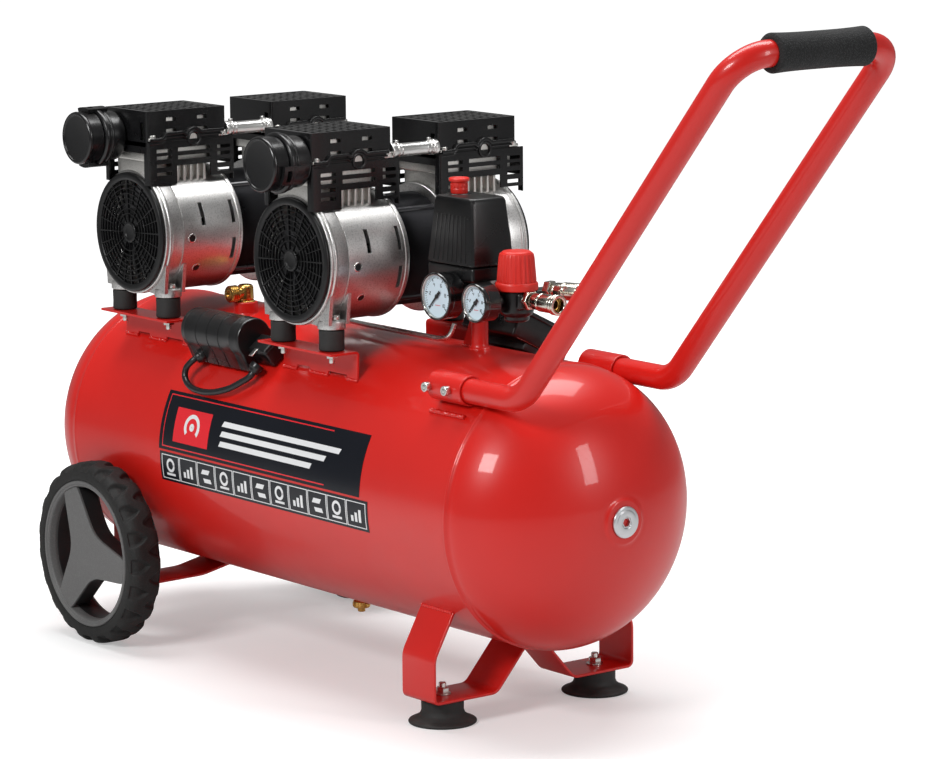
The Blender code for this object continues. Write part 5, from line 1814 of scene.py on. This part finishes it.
@dataclass
class Gauge:
    """Round pressure gauge that faces the near side, with a printed scale and its own needle."""

    shop: Workshop
    name: str
    x: float
    radius: float
    last: int
    z: float = 416.0

    def build(self) -> None:
        """Makes the can, the dial, its print and the needle."""
        r, at = self.radius, (self.x, 0, self.z)
        can = rounded([(0, 27.6), (r - 3.0, 27.6), (r - 0.7, 29.6), (r - 0.7, 43.4), (r, 44.2), (r, 48.6),
                       (r - 1.0, 50.0), (r - 2.0, 50.0), (r - 2.6, 49.0), (r - 2.6, 45.0), (0, 45.0)], 0.5, 3)
        shell = Sketch().turned(can, at, Axis.NEAR, 96)
        self.shop.make(f"gauge_{self.name}_can", shell, CAN, replaces=[f"gauge_{self.name}"])
        edge = rounded([(r - 2.4, 45.4), (r - 2.4, 49.2), (r - 3.0, 49.0), (r - 3.5, 47.0), (r - 3.5, 45.4)],
                       0.2, 2,
                       closed=True)
        self.shop.make(f"gauge_{self.name}_edge", Sketch().turned(edge, at, Axis.NEAR, 96, ring=True), SCREW)
        dial = [(0, 46.2), (r - 2.8, 46.2), (r - 2.8, 45.2), (0, 45.2)]
        self.shop.make(f"gauge_{self.name}_dial", Sketch().turned(dial, at, Axis.NEAR, 72), DIAL)
        self.print()
        self.needle()

    def angle(self, share: float) -> float:
        """Where a share of the scale is, in radians up from +x: it runs clockwise from lower left."""
        return math.radians(225.0 - 270.0 * share)

    def stroke(self, sketch: Sketch, ends: Sequence[Point], width: float) -> None:
        """One printed line on the dial between two (x, z) points from its middle."""
        a, b = (np.asarray(end, float) for end in ends)
        side = unit(np.array((a[1] - b[1], b[0] - a[0]))) * width / 2
        outline = np.array((a + side, b + side, b - side, a - side)) + (self.x, self.z)
        sketch.prism(outline, "y", -46.45, -46.1)

    def print(self) -> None:
        """Scale marks, a figure at each main mark, and the red arc at the scale's end."""
        black, red = Sketch(), Sketch()
        r = self.radius - 4.6
        for k in range(41):
            a = self.angle(k / 40)
            main = k % 8 == 0
            inner = r * (0.80 if main else 0.87 if k % 4 == 0 else 0.90)
            way = np.array((math.cos(a), math.sin(a)))
            self.stroke(black, (way * inner, way * r), 0.95 if main else 0.5)
            if main:
                self.figure(black, k // 8 * self.last // 5, way * r * 0.63)
        for k in range(33, 41):
            arc = [np.array((math.cos(a), math.sin(a))) * r * 1.035 for a in
                   (self.angle((k - 1) / 40), self.angle(k / 40))]
            self.stroke(red, arc, 0.9)
        self.stroke(red, ((-r * 0.22, -r * 0.46), (r * 0.22, -r * 0.46)), 0.5)
        self.shop.make(f"gauge_{self.name}_scale", black, INK)
        self.shop.make(f"gauge_{self.name}_limit", red, RED_INK)

    def figure(self, sketch: Sketch, value: int, at: np.ndarray) -> None:
        """A number in plain upright strokes: every digit is a choice among seven of them."""
        w, h = 0.042 * self.radius, 0.066 * self.radius
        strokes = {"a": ((-w, h), (w, h)), "b": ((w, h), (w, 0)), "c": ((w, 0), (w, -h)),
                   "d": ((-w, -h), (w, -h)),
                   "e": ((-w, 0), (-w, -h)), "f": ((-w, h), (-w, 0)), "g": ((-w, 0), (w, 0))}
        digits = ("abcdef", "bc", "abged", "abgcd", "fgbc", "afgcd", "afgecd", "abc", "abcdefg", "abcdfg")
        text = str(value)
        for place, digit in enumerate(text):
            shift = at + ((place - (len(text) - 1) / 2) * w * 3.0, 0)
            for key in digits[int(digit)]:
                self.stroke(sketch, [np.asarray(end) + shift for end in strokes[key]], 0.36)

    def needle(self) -> None:
        """Black pointer at zero, with a short tail and a round hub."""
        r, a = self.radius, self.angle(0.0)
        along, side = np.array((math.cos(a), math.sin(a))), np.array((-math.sin(a), math.cos(a)))
        tip, tail = along * r * 0.72, -along * r * 0.28
        outline = [tip + side * 0.2, tip - side * 0.2, -side * 1.1, tail - side * 1.6, tail + side * 1.6,
                   side * 1.1]
        pointer = Sketch().prism(np.array(outline) + (self.x, self.z), "y", -48.2, -47.5)
        hub = rounded([(0, 48.9), (1.6, 48.8), (2.3, 48.2), (2.3, 47.2), (0, 47.2)], 0.3, 2)
        pointer.turned(hub, (self.x, 0, self.z), Axis.NEAR, 24)
        body = f"gauge_{self.name}_needle"
        self.shop.make(f"pointer_{self.name}", pointer, NEEDLE, body, replaces=[f"needle_{self.name}"])


@dataclass
class Outlet:
    """Riser, pressure switch, manifold, regulator, gauges and the two quick couplings."""

    shop: Workshop
    riser_x: float = 206.0
    cover_x: float = 192.0
    regulator_x: float = 265.6
    knob_x: float = 174.0

    def riser(self) -> None:
        """Red stub pipe with a gusset and its weld beads."""
        at = (self.riser_x, 0, 0)
        pipe = rounded([(0, 402.6), (8.6, 402.6), (8.6, 364.0), (9.6, 361.2), (11.4, 359.9), (11.4, 358.0),
                        (0, 358.0)],
                       1.2, 4)
        sketch = Sketch().turned(pipe, at, Axis.Z, 56)
        gusset = [(180.5, 359.0), (180.5, 362.0), (192.5, 388.6), (200.0, 388.6), (200.0, 359.0)]
        sketch.prism(gusset, "y", -1.5, 1.5)
        x = np.linspace(179.5, 198, 26)
        for y in (-2.0, 2.0):
            line = np.stack([x, np.full_like(x, y), np.full_like(x, 359.8)], -1)
            sketch.swept(line, circle(1.5, 10), scale=1 + 0.2 * np.sin(x * 2.2))
        self.shop.make("riser_pipe", sketch, RED, replaces=["outlet_riser"], bevel=0.3)

    def switch(self) -> None:
        """Tapered switch cover with fine ribs on its faces, on a black base, and the red pull knob."""
        z = np.array([446.4, 447.2, 448.2, 508.0, 511.0, 512.8, 513.7, 514.0])
        share = np.clip((z - 446.0) / 68.0, 0, 1)
        scale = (1 - 0.195 * share) * np.array([0.985, 0.996, 1.0, 1.0, 0.99, 0.965, 0.925, 0.89])
        path = np.column_stack([np.full_like(z, self.cover_x), np.zeros_like(z), z])
        sketch = Sketch().swept(path, slab(38.5, 28.0, 7.0), up=(0, 1, 0), scale=scale)
        for k in range(8):
            low = (-26.0 + 7.4 * k, 449.5)
            foot = np.array((self.cover_x + low[0], -28.0 * (1 - 0.195 * 0.05) + 0.35, low[1]))
            tip = np.array((self.cover_x + low[0] * 0.86, -28.0 * (1 - 0.195 * 0.74) + 0.35, 496.0))
            run = np.linspace(0, 1, 8)[:, None]
            for mirror in (1, -1):
                line = foot + (tip - foot) * run
                line = line * (1, mirror, 1)
                sketch.swept(line, slab(1.25, 0.8, 0.5), up=(0, 1, 0))
        seam = np.column_stack([rounded([(-37.6, -27.2), (37.6, -27.2), (37.6, 27.2), (-37.6, 27.2)], 7, 5,
                                        closed=True)
                                + (self.cover_x, 0), np.full(24, 447.4)])
        sketch.swept(seam, slab(0.9, 0.7, 0.3), closed=True)
        self.shop.make("switch_hood", sketch, BLACK, replaces=["switch_cover"], smooth=30)
        knob = rounded([(0, 10.2), (6.6, 10.2), (7.6, 11.0), (9.6, 11.0), (10.6, 9.8), (10.4, 7.6),
                        (8.8, 6.6),
                        (8.4, 5.6), (8.4, 0.6), (8.9, -0.4), (8.5, -5.0), (0, -5.0)], 0.6, 3)
        body = Sketch().turned(knob, (self.knob_x, 0, 519.3), Axis.Z, 56)
        for turn in np.radians(np.arange(0, 360, 24)):
            middle = np.array((self.knob_x + 8.4 * math.cos(turn), 8.4 * math.sin(turn), 519.3 + 3.0))
            body.block(middle - (0.5, 0.5, 2.4), middle + (0.5, 0.5, 2.4), 0.3, 1)
        self.shop.make("switch_pull", body, KNOB, "switch_knob", replaces=["switch_knob"])
        collar = rounded([(8.9, 514.6), (12.4, 514.6), (13.2, 513.4), (13.2, 511.0), (8.9, 511.0)], 0.5, 2,
                         closed=True)
        self.shop.make("switch_collar", Sketch().turned(collar, (self.knob_x, 0, 0), Axis.Z, 48, ring=True),
                       BLACK)

    def manifold(self) -> None:
        """Black cast block that joins the riser, switch, regulator, gauges and couplings."""
        sketch = Sketch()
        sketch.block((180.0, -13, 403.0), (250.0, 13, 425.0), 3)
        sketch.block((174.5, -12, 416), (210, 12, 431), 2)
        sketch.block((154.8, -27, 430.2), (229.3, 27, 445.6), 3.5, 4)
        sketch.turned(rounded([(0, 403.4), (13.6, 403.4), (14.0, 402.4), (14.0, 399.2), (12.6, 398.2),
                               (0, 398.2)],
                              0.5, 2), (self.riser_x, 0, 0), Axis.Z, 6)
        at = (self.regulator_x, 0, 0)
        body = rounded([(0, 425.4), (17.0, 425.4), (17.0, 404.0), (15.6, 401.0), (12.6, 400.0), (12.6, 396.0),
                        (10.6, 394.2), (0, 394.2)], 1.0, 3)
        sketch.turned(body, at, Axis.Z, 56)
        sketch.block((250.0, -11.5, 407.0), (283.6, 11.5, 424.6), 3)
        sketch.block((258.2, 8, 408.2), (279.8, 39.8, 425.0), 3)
        for gauge_x in (196.6, 258.7):
            stem = rounded([(0, 27.4), (5.9, 27.4), (5.9, 21), (7.6, 20.4), (7.6, 14.2), (5.9, 13.6),
                            (5.9, 11),
                            (0, 11)], 0.3, 2)
            sketch.turned(stem, (gauge_x, 0, 416.0), Axis.NEAR, 6 if gauge_x < 200 else 28)
        self.shop.make("manifold_block", sketch, BLACK, replaces=["manifold"], bevel=0.3)

    def regulator(self) -> None:
        """Red knob with a smooth skirt and upright grip ribs."""
        at = (self.regulator_x, 0, 0)
        skirt = rounded([(0, 434), (20.2, 434.0), (21.2, 433.2), (21.6, 431.8), (21.6, 426.8), (20.9, 425.9),
                         (0, 425.9)],
                        0.6, 3)
        sketch = Sketch().turned(skirt, at, Axis.Z, 96)
        turn = np.arange(288) / 288 * 2 * np.pi
        wave = np.clip(np.cos(turn * 24) * 2.2, -1, 1)
        heights = np.array([433.6, 435.2, 436.4, 458.4, 461.0, 462.6])
        shares = np.array([0.92, 0.95, 1.0, 1.0, 0.55, 0.0])
        radii = np.interp(heights, (433, 462), (20.2, 17.7)) - np.array([0.6, 0.2, 0, 0, 0.3, 0.9])
        rows = radii[:, None] - 0.75 * shares[:, None] * (1 - wave[None]) / 2
        points = np.stack([self.regulator_x + rows * np.cos(turn), rows * np.sin(turn),
                           np.broadcast_to(heights[:, None], rows.shape)], -1)
        cap = np.arange(288)[None]
        sketch.add(points, grid_faces(6, 288, wrap_columns=True), cap, cap[:, ::-1] + 5 * 288)
        top = rounded([(0, 465.0), (13.4, 465.0), (14.8, 464.2), (16.0, 462.4), (16.0, 461.6), (0, 461.6)],
                      0.8, 3)
        sketch.turned(top, at, Axis.Z, 72)
        self.shop.make("regulator_grip", sketch, KNOB, "regulator_knob", replaces=["regulator_knob"])

    def coupling(self, end: End, start: Point, turn: float) -> None:
        """One quick coupling: hex, body, a dark disc of painted shade in the bore, and the spring-loaded
        sleeve round it.

        Args:
            end: which coupling it is.
            start: where its fixed part leaves the manifold.
            turn: its direction, in degrees from +x towards +y.
        """
        way = (math.cos(math.radians(turn)), math.sin(math.radians(turn)), 0.0)
        fixed = Sketch()
        fixed.turned(rounded([(0, -9), (5, -9), (5, 3.2), (0, 3.2)], 0.3, 2), start, way, 32)
        fixed.turned(rounded([(0, -8.2), (9.4, -8.2), (10.2, -7.4), (10.2, -1.2), (9.4, -0.4), (0, -0.4)],
                             0.4, 2),
                     start, way, 6)
        self.shop.make(f"spigot_{end.label}", fixed, NICKEL, smooth=28)
        sleeve = rounded([(5.3, 4.2), (8.2, 4.2), (8.4, 12.0), (9.2, 13.2), (9.2, 15.2), (8.7, 15.7),
                          (8.7, 16.7),
                          (9.2, 17.2), (9.2, 31.0), (8.6, 32.2), (8.8, 33.2), (10.4, 34.2), (10.4, 36.6),
                          (9.9, 37.1),
                          (9.9, 37.9), (10.4, 38.4), (10.4, 40.2), (9.6, 41.0), (7.4, 41.0), (6.6, 39.8),
                          (6.6, 16.0),
                          (5.3, 15.0)], 0.3, 2, closed=True)
        ring = Sketch().turned(sleeve, start, way, 72, ring=True)
        name = f"coupling_{end.label}"
        self.shop.make(f"{name}_ring", ring, NICKEL, f"{name}_sleeve", replaces=[name], smooth=30)
        inner = rounded([(4.6, 33.4), (5.6, 33.8), (6.5, 33.0), (6.5, 24.0), (4.6, 24.0)], 0.3, 2,
                        closed=True)
        seat = Sketch().turned(inner, start, way, 48, ring=True)
        # A dark disc deep in the sleeve: painted shade for the bore.
        bore_shade = Sketch().turned([(0, 23.0), (6.3, 23.0), (6.3, 18.0), (0, 18.0)], start, way, 32)
        self.shop.make(f"{name}_stop", bore_shade, GUARD, f"{name}_sleeve")
        self.shop.make(f"{name}_seat", seat, BRASS, f"{name}_sleeve")

    def build(self) -> None:
        """Makes the whole group."""
        self.riser()
        self.manifold()
        self.switch()
        self.regulator()
        Gauge(self.shop, "tank", 196.6, 24.6, 10).build()
        Gauge(self.shop, "line", 258.7, 20.0, 10).build()
        self.coupling(End.NEAR, (291.0, 0.0, 417.3), 0.0)
        self.coupling(End.FAR, (283.0, 33.0, 424.0), 18.0)


@dataclass
class Fittings:
    """Small parts on the tank's shoulders: check valve, unloader tube, capacitor and terminal box."""

    shop: Workshop
    tank: Tank
    valve_x: float = -161.0
    valve_y: float = -31.0
    lead_r: float = 3.4

    def valve(self) -> None:
        """Brass check valve on a red boss, with a branch towards the near side."""
        at = (self.valve_x, self.valve_y, 0)
        boss = rounded([(0, 369.6), (12.4, 369.6), (13.2, 368.8), (13.2, 358.0), (14.8, 355.0), (14.8, 350.0),
                        (0, 350.0)],
                       0.8, 3)
        self.shop.make("valve_boss", Sketch().turned(boss, at, Axis.Z, 48), RED)
        sketch = Sketch()
        sketch.turned(rounded([(0, 370.8), (10.8, 370.8), (11.5, 370.0), (11.5, 360.0), (0, 360.0)], 0.4, 2),
                      at,
                      Axis.Z, 6)
        sketch.turned(rounded([(0, 388.0), (6.4, 388.0), (7.9, 386.8), (8.6, 385.0), (9.0, 373.0),
                               (8.4, 371.4),
                               (8.4, 370.0), (0, 370.0)], 0.5, 3), at, Axis.Z, 48)
        branch = (self.valve_x, self.valve_y, 379.0)
        profile = [(0, 0), (6.5, 0), (6.5, 11), (8.6, 11.6)]
        for k in range(4):
            profile += [(9.2, 12.2 + 2.4 * k), (9.2, 13.6 + 2.4 * k), (8.5, 13.9 + 2.4 * k),
                        (8.5, 14.3 + 2.4 * k)]
        profile += [(8.0, 22.0), (3.4, 22.0), (3.4, 20.0), (0, 20.0)]
        sketch.turned(rounded(profile, 0.2, 1), branch, Axis.NEAR, 48)
        self.shop.make("valve_body", sketch, BRASS, replaces=["check_valve"], smooth=30)

    def tube(self) -> None:
        """Thin tube that runs along the tank's top from the switch to the first unit."""
        line = rounded([(196.6, -31 + 6, 386), (194.0, -29, 373), (176.0, -27, 368.0), (60.0, -22, 367.0),
                        (12.0, -20, 367.2), (3.0, -19, 372.0)], 9.0, 6)
        self.shop.make("unloader_tube", Sketch().swept(line, circle(2.6, 16)), STEEL)

    def on_shoulder(self, x: np.ndarray, angle: np.ndarray, lift: np.ndarray, side: int = -1) -> np.ndarray:
        """Points over the tank at an angle from its top: (x, side * q sin a, z0 + q cos a), q = R + lift."""
        turn, reach = np.radians(angle), self.tank.radius + lift
        return np.stack(np.broadcast_arrays(x, side * reach * np.sin(turn),
                                            self.tank.axis_z + reach * np.cos(turn)), -1)

    def capacitor(self) -> None:
        """Capacitor case on the near shoulder with rings round it, its plug box and the lead."""
        centre = np.array((-104.0, 350.0))
        tilt = math.atan2(-centre[0], centre[1] - self.tank.axis_z)
        lean = np.array((-math.sin(tilt), math.cos(tilt)))
        level = np.array((math.cos(tilt), math.sin(tilt)))
        a = np.radians(np.linspace(190, -10, 33))
        arc = np.stack([np.cos(a), np.sin(a)], -1) * 22.5
        reach = float(np.linalg.norm(centre - (0, self.tank.axis_z))) - self.tank.radius
        foot = np.array([(26.0, -reach + 3.2), (25.0, -reach + 1.2), (-25.0, -reach + 1.2),
                         (-26.0, -reach + 3.2)])
        flat = np.concatenate([arc, foot])
        outline = centre + flat[:, :1] * level + flat[:, 1:] * lean
        middle = outline.mean(0)
        xs = [-146.0, -145.2, -144.0]
        sizes = [0.93, 0.975, 0.99]
        for k in range(5):
            x = -140.0 + 20.5 * k
            xs += [x, x + 0.6, x + 1.8, x + 2.4]
            sizes += [0.985, 1.0, 1.0, 0.985] if k % 4 == 0 else [0.99, 0.94, 0.94, 0.99]
        xs += [-46.0, -43.4, -42.0, -41.2]
        sizes += [0.99, 0.985, 0.965, 0.92]
        order = np.argsort(xs)
        xs, sizes = np.array(xs)[order], np.array(sizes)[order]
        rows = middle + (outline - middle)[None] * sizes[:, None, None]
        points = np.concatenate([np.broadcast_to(xs[:, None, None], rows.shape[:2] + (1,)), rows], -1)
        count = len(outline)
        cap = np.arange(count)[None]
        sketch = Sketch().add(points, grid_faces(len(xs), count, wrap_columns=True), cap,
                              cap[:, ::-1] + (len(xs) - 1) * count)
        self.shop.make("capacitor_can", sketch, BLACK, replaces=["capacitor_case"], smooth=32)
        turn = Matrix.Rotation(math.radians(38.0), 4, "X")
        box_at = self.on_shoulder(np.array(-28.0), np.array(38.0), np.array(12.8))
        half = np.array((15.6, 11.8, 11.0))
        plug = Sketch().block(box_at - half, box_at + half, 2.4, 4, turn)
        rim = self.on_shoulder(np.array(-28.0), np.array(38.0), np.array(20.0))
        plug.block(rim - (16.2, 12.4, 1.0), rim + (16.2, 12.4, 1.0), 0.8, 2, turn)
        boot = rounded([(3.6, -5.0), (7.4, -5.0), (7.4, 0.6), (6.4, 1.4), (5.6, 4.6), (4.4, 5.4), (3.6, 5.4)],
                       0.5, 2,
                       closed=True)
        plug.turned(boot, (-125.0, -115.6, 323.0), (-0.34, -0.83, -0.45), 32, ring=True)
        plug.turned(boot, (-27.0, -113.5, 322.0), (-0.22, -0.55, -0.80), 32, ring=True)
        self.shop.make("capacitor_plug", plug, BLACK)
        spring = self.on_shoulder(np.array(-28.0), np.array(43.0), np.array(24.4))
        clip = Sketch().block(spring - (3.2, 5.2, 0.7), spring + (3.2, 5.2, 0.7), 0.5, 2, turn)
        self.shop.make("capacitor_clip", clip, SCREW)
        self.lead()

    def lead(self) -> None:
        """The lead that leaves the capacitor's case, loops over the tank's side and goes to the plug box."""
        stops = [(-125, -115.6, 323), (-128, -123, 319), (-134, -128, 310), (-131, -131, 299),
                 (-113, -134, 292),
                 (-84, -134, 291.5), (-56, -130, 298), (-37, -123, 308), (-29, -119, 314), (-27, -113.5, 322)]
        line = smooth_line(stops, 10)
        piece = self.shop.make("capacitor_wire", Sketch().swept(line, circle(self.lead_r, 20)), LEAD,
                               replaces=["capacitor_lead"])

    def terminal(self) -> None:
        """Terminal box on the far shoulder, on its bracket, with a lid edge and four screws."""
        turn = Matrix.Rotation(math.radians(-26.5), 4, "X")
        at = self.on_shoulder(np.array(173.0), np.array(26.5), np.array(23.0), 1)
        half = np.array((43.0, 38.5, 13.6))
        sketch = Sketch().block(at - half, at + half, 3.2, 4, turn)
        lid = self.on_shoulder(np.array(173.0), np.array(26.5), np.array(38.2), 1)
        sketch.block(lid - (43.0, 38.5, 2.8), lid + (43.0, 38.5, 2.8), 2.2, 4, turn)
        foot = self.on_shoulder(np.array(177.0), np.array(26.5), np.array(6.6), 1)
        sketch.block(foot - (35, 16, 5.2), foot + (35, 16, 5.2), 1.5, 3, turn)
        self.shop.make("terminal_case", sketch, BLACK, replaces=["terminal_box"])
        screws = Sketch()
        up = np.array((0, math.sin(math.radians(26.5)), math.cos(math.radians(26.5))))
        across = np.array((0, up[2], -up[1]))
        for sx in (-1, 1):
            for sy in (-1, 1):
                spot = lid + (sx * 37.0, 0, 0) + across * sy * 32.5
                screws.turned(rounded([(0, 2.9), (2.2, 2.9), (2.8, 2.2), (2.8, 0), (0, 0)], 0.2, 2), spot, up,
                              16)
        plate_at = self.on_shoulder(np.array(177.0), np.array(26.5), np.array(10.6), 1)
        screws.block(plate_at - (38.0, 31, 0.7), plate_at + (38.0, 31, 0.7), 0.5, 2, turn)
        self.shop.make("terminal_screws", screws, SCREW)

    def build(self) -> None:
        """Makes them all."""
        self.valve()
        self.tube()
        self.capacitor()
        self.terminal()


# ---------------------------------------------------------------- the whole machine

def corners(low: Vector, high: Vector) -> list[list[float]]:
    """A box as plain lists of numbers."""
    return [[float(value) for value in low], [float(value) for value in high]]


def main() -> None:
    """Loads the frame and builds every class's pieces in order."""
    logging.basicConfig(level=logging.INFO, format="%(message)s")
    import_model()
    cad_box = corners(*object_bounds())
    low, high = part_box("tank_shell")
    shop = Workshop(tank_x=(low[0] + high[0]) / 2 / MM)
    LOG.info("tank middle at x = %.2f mm", shop.tank_x)
    tank = Tank(shop)
    pieces = [Studio(), tank, Label(shop, tank), Wheel(shop, End.NEAR), Wheel(shop, End.FAR),
              Handle(shop, tank),
              MotorUnit(shop, "a", -234.2, -20.8, 90.0), MotorUnit(shop, "b", 61.0, 20.0, -20.0),
              Outlet(shop), Fittings(shop, tank)]
    for piece in pieces:
        piece.build()
        LOG.info("%s built", type(piece).__name__)
    visual_box = corners(*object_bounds())


if __name__ == "__main__":
    main()
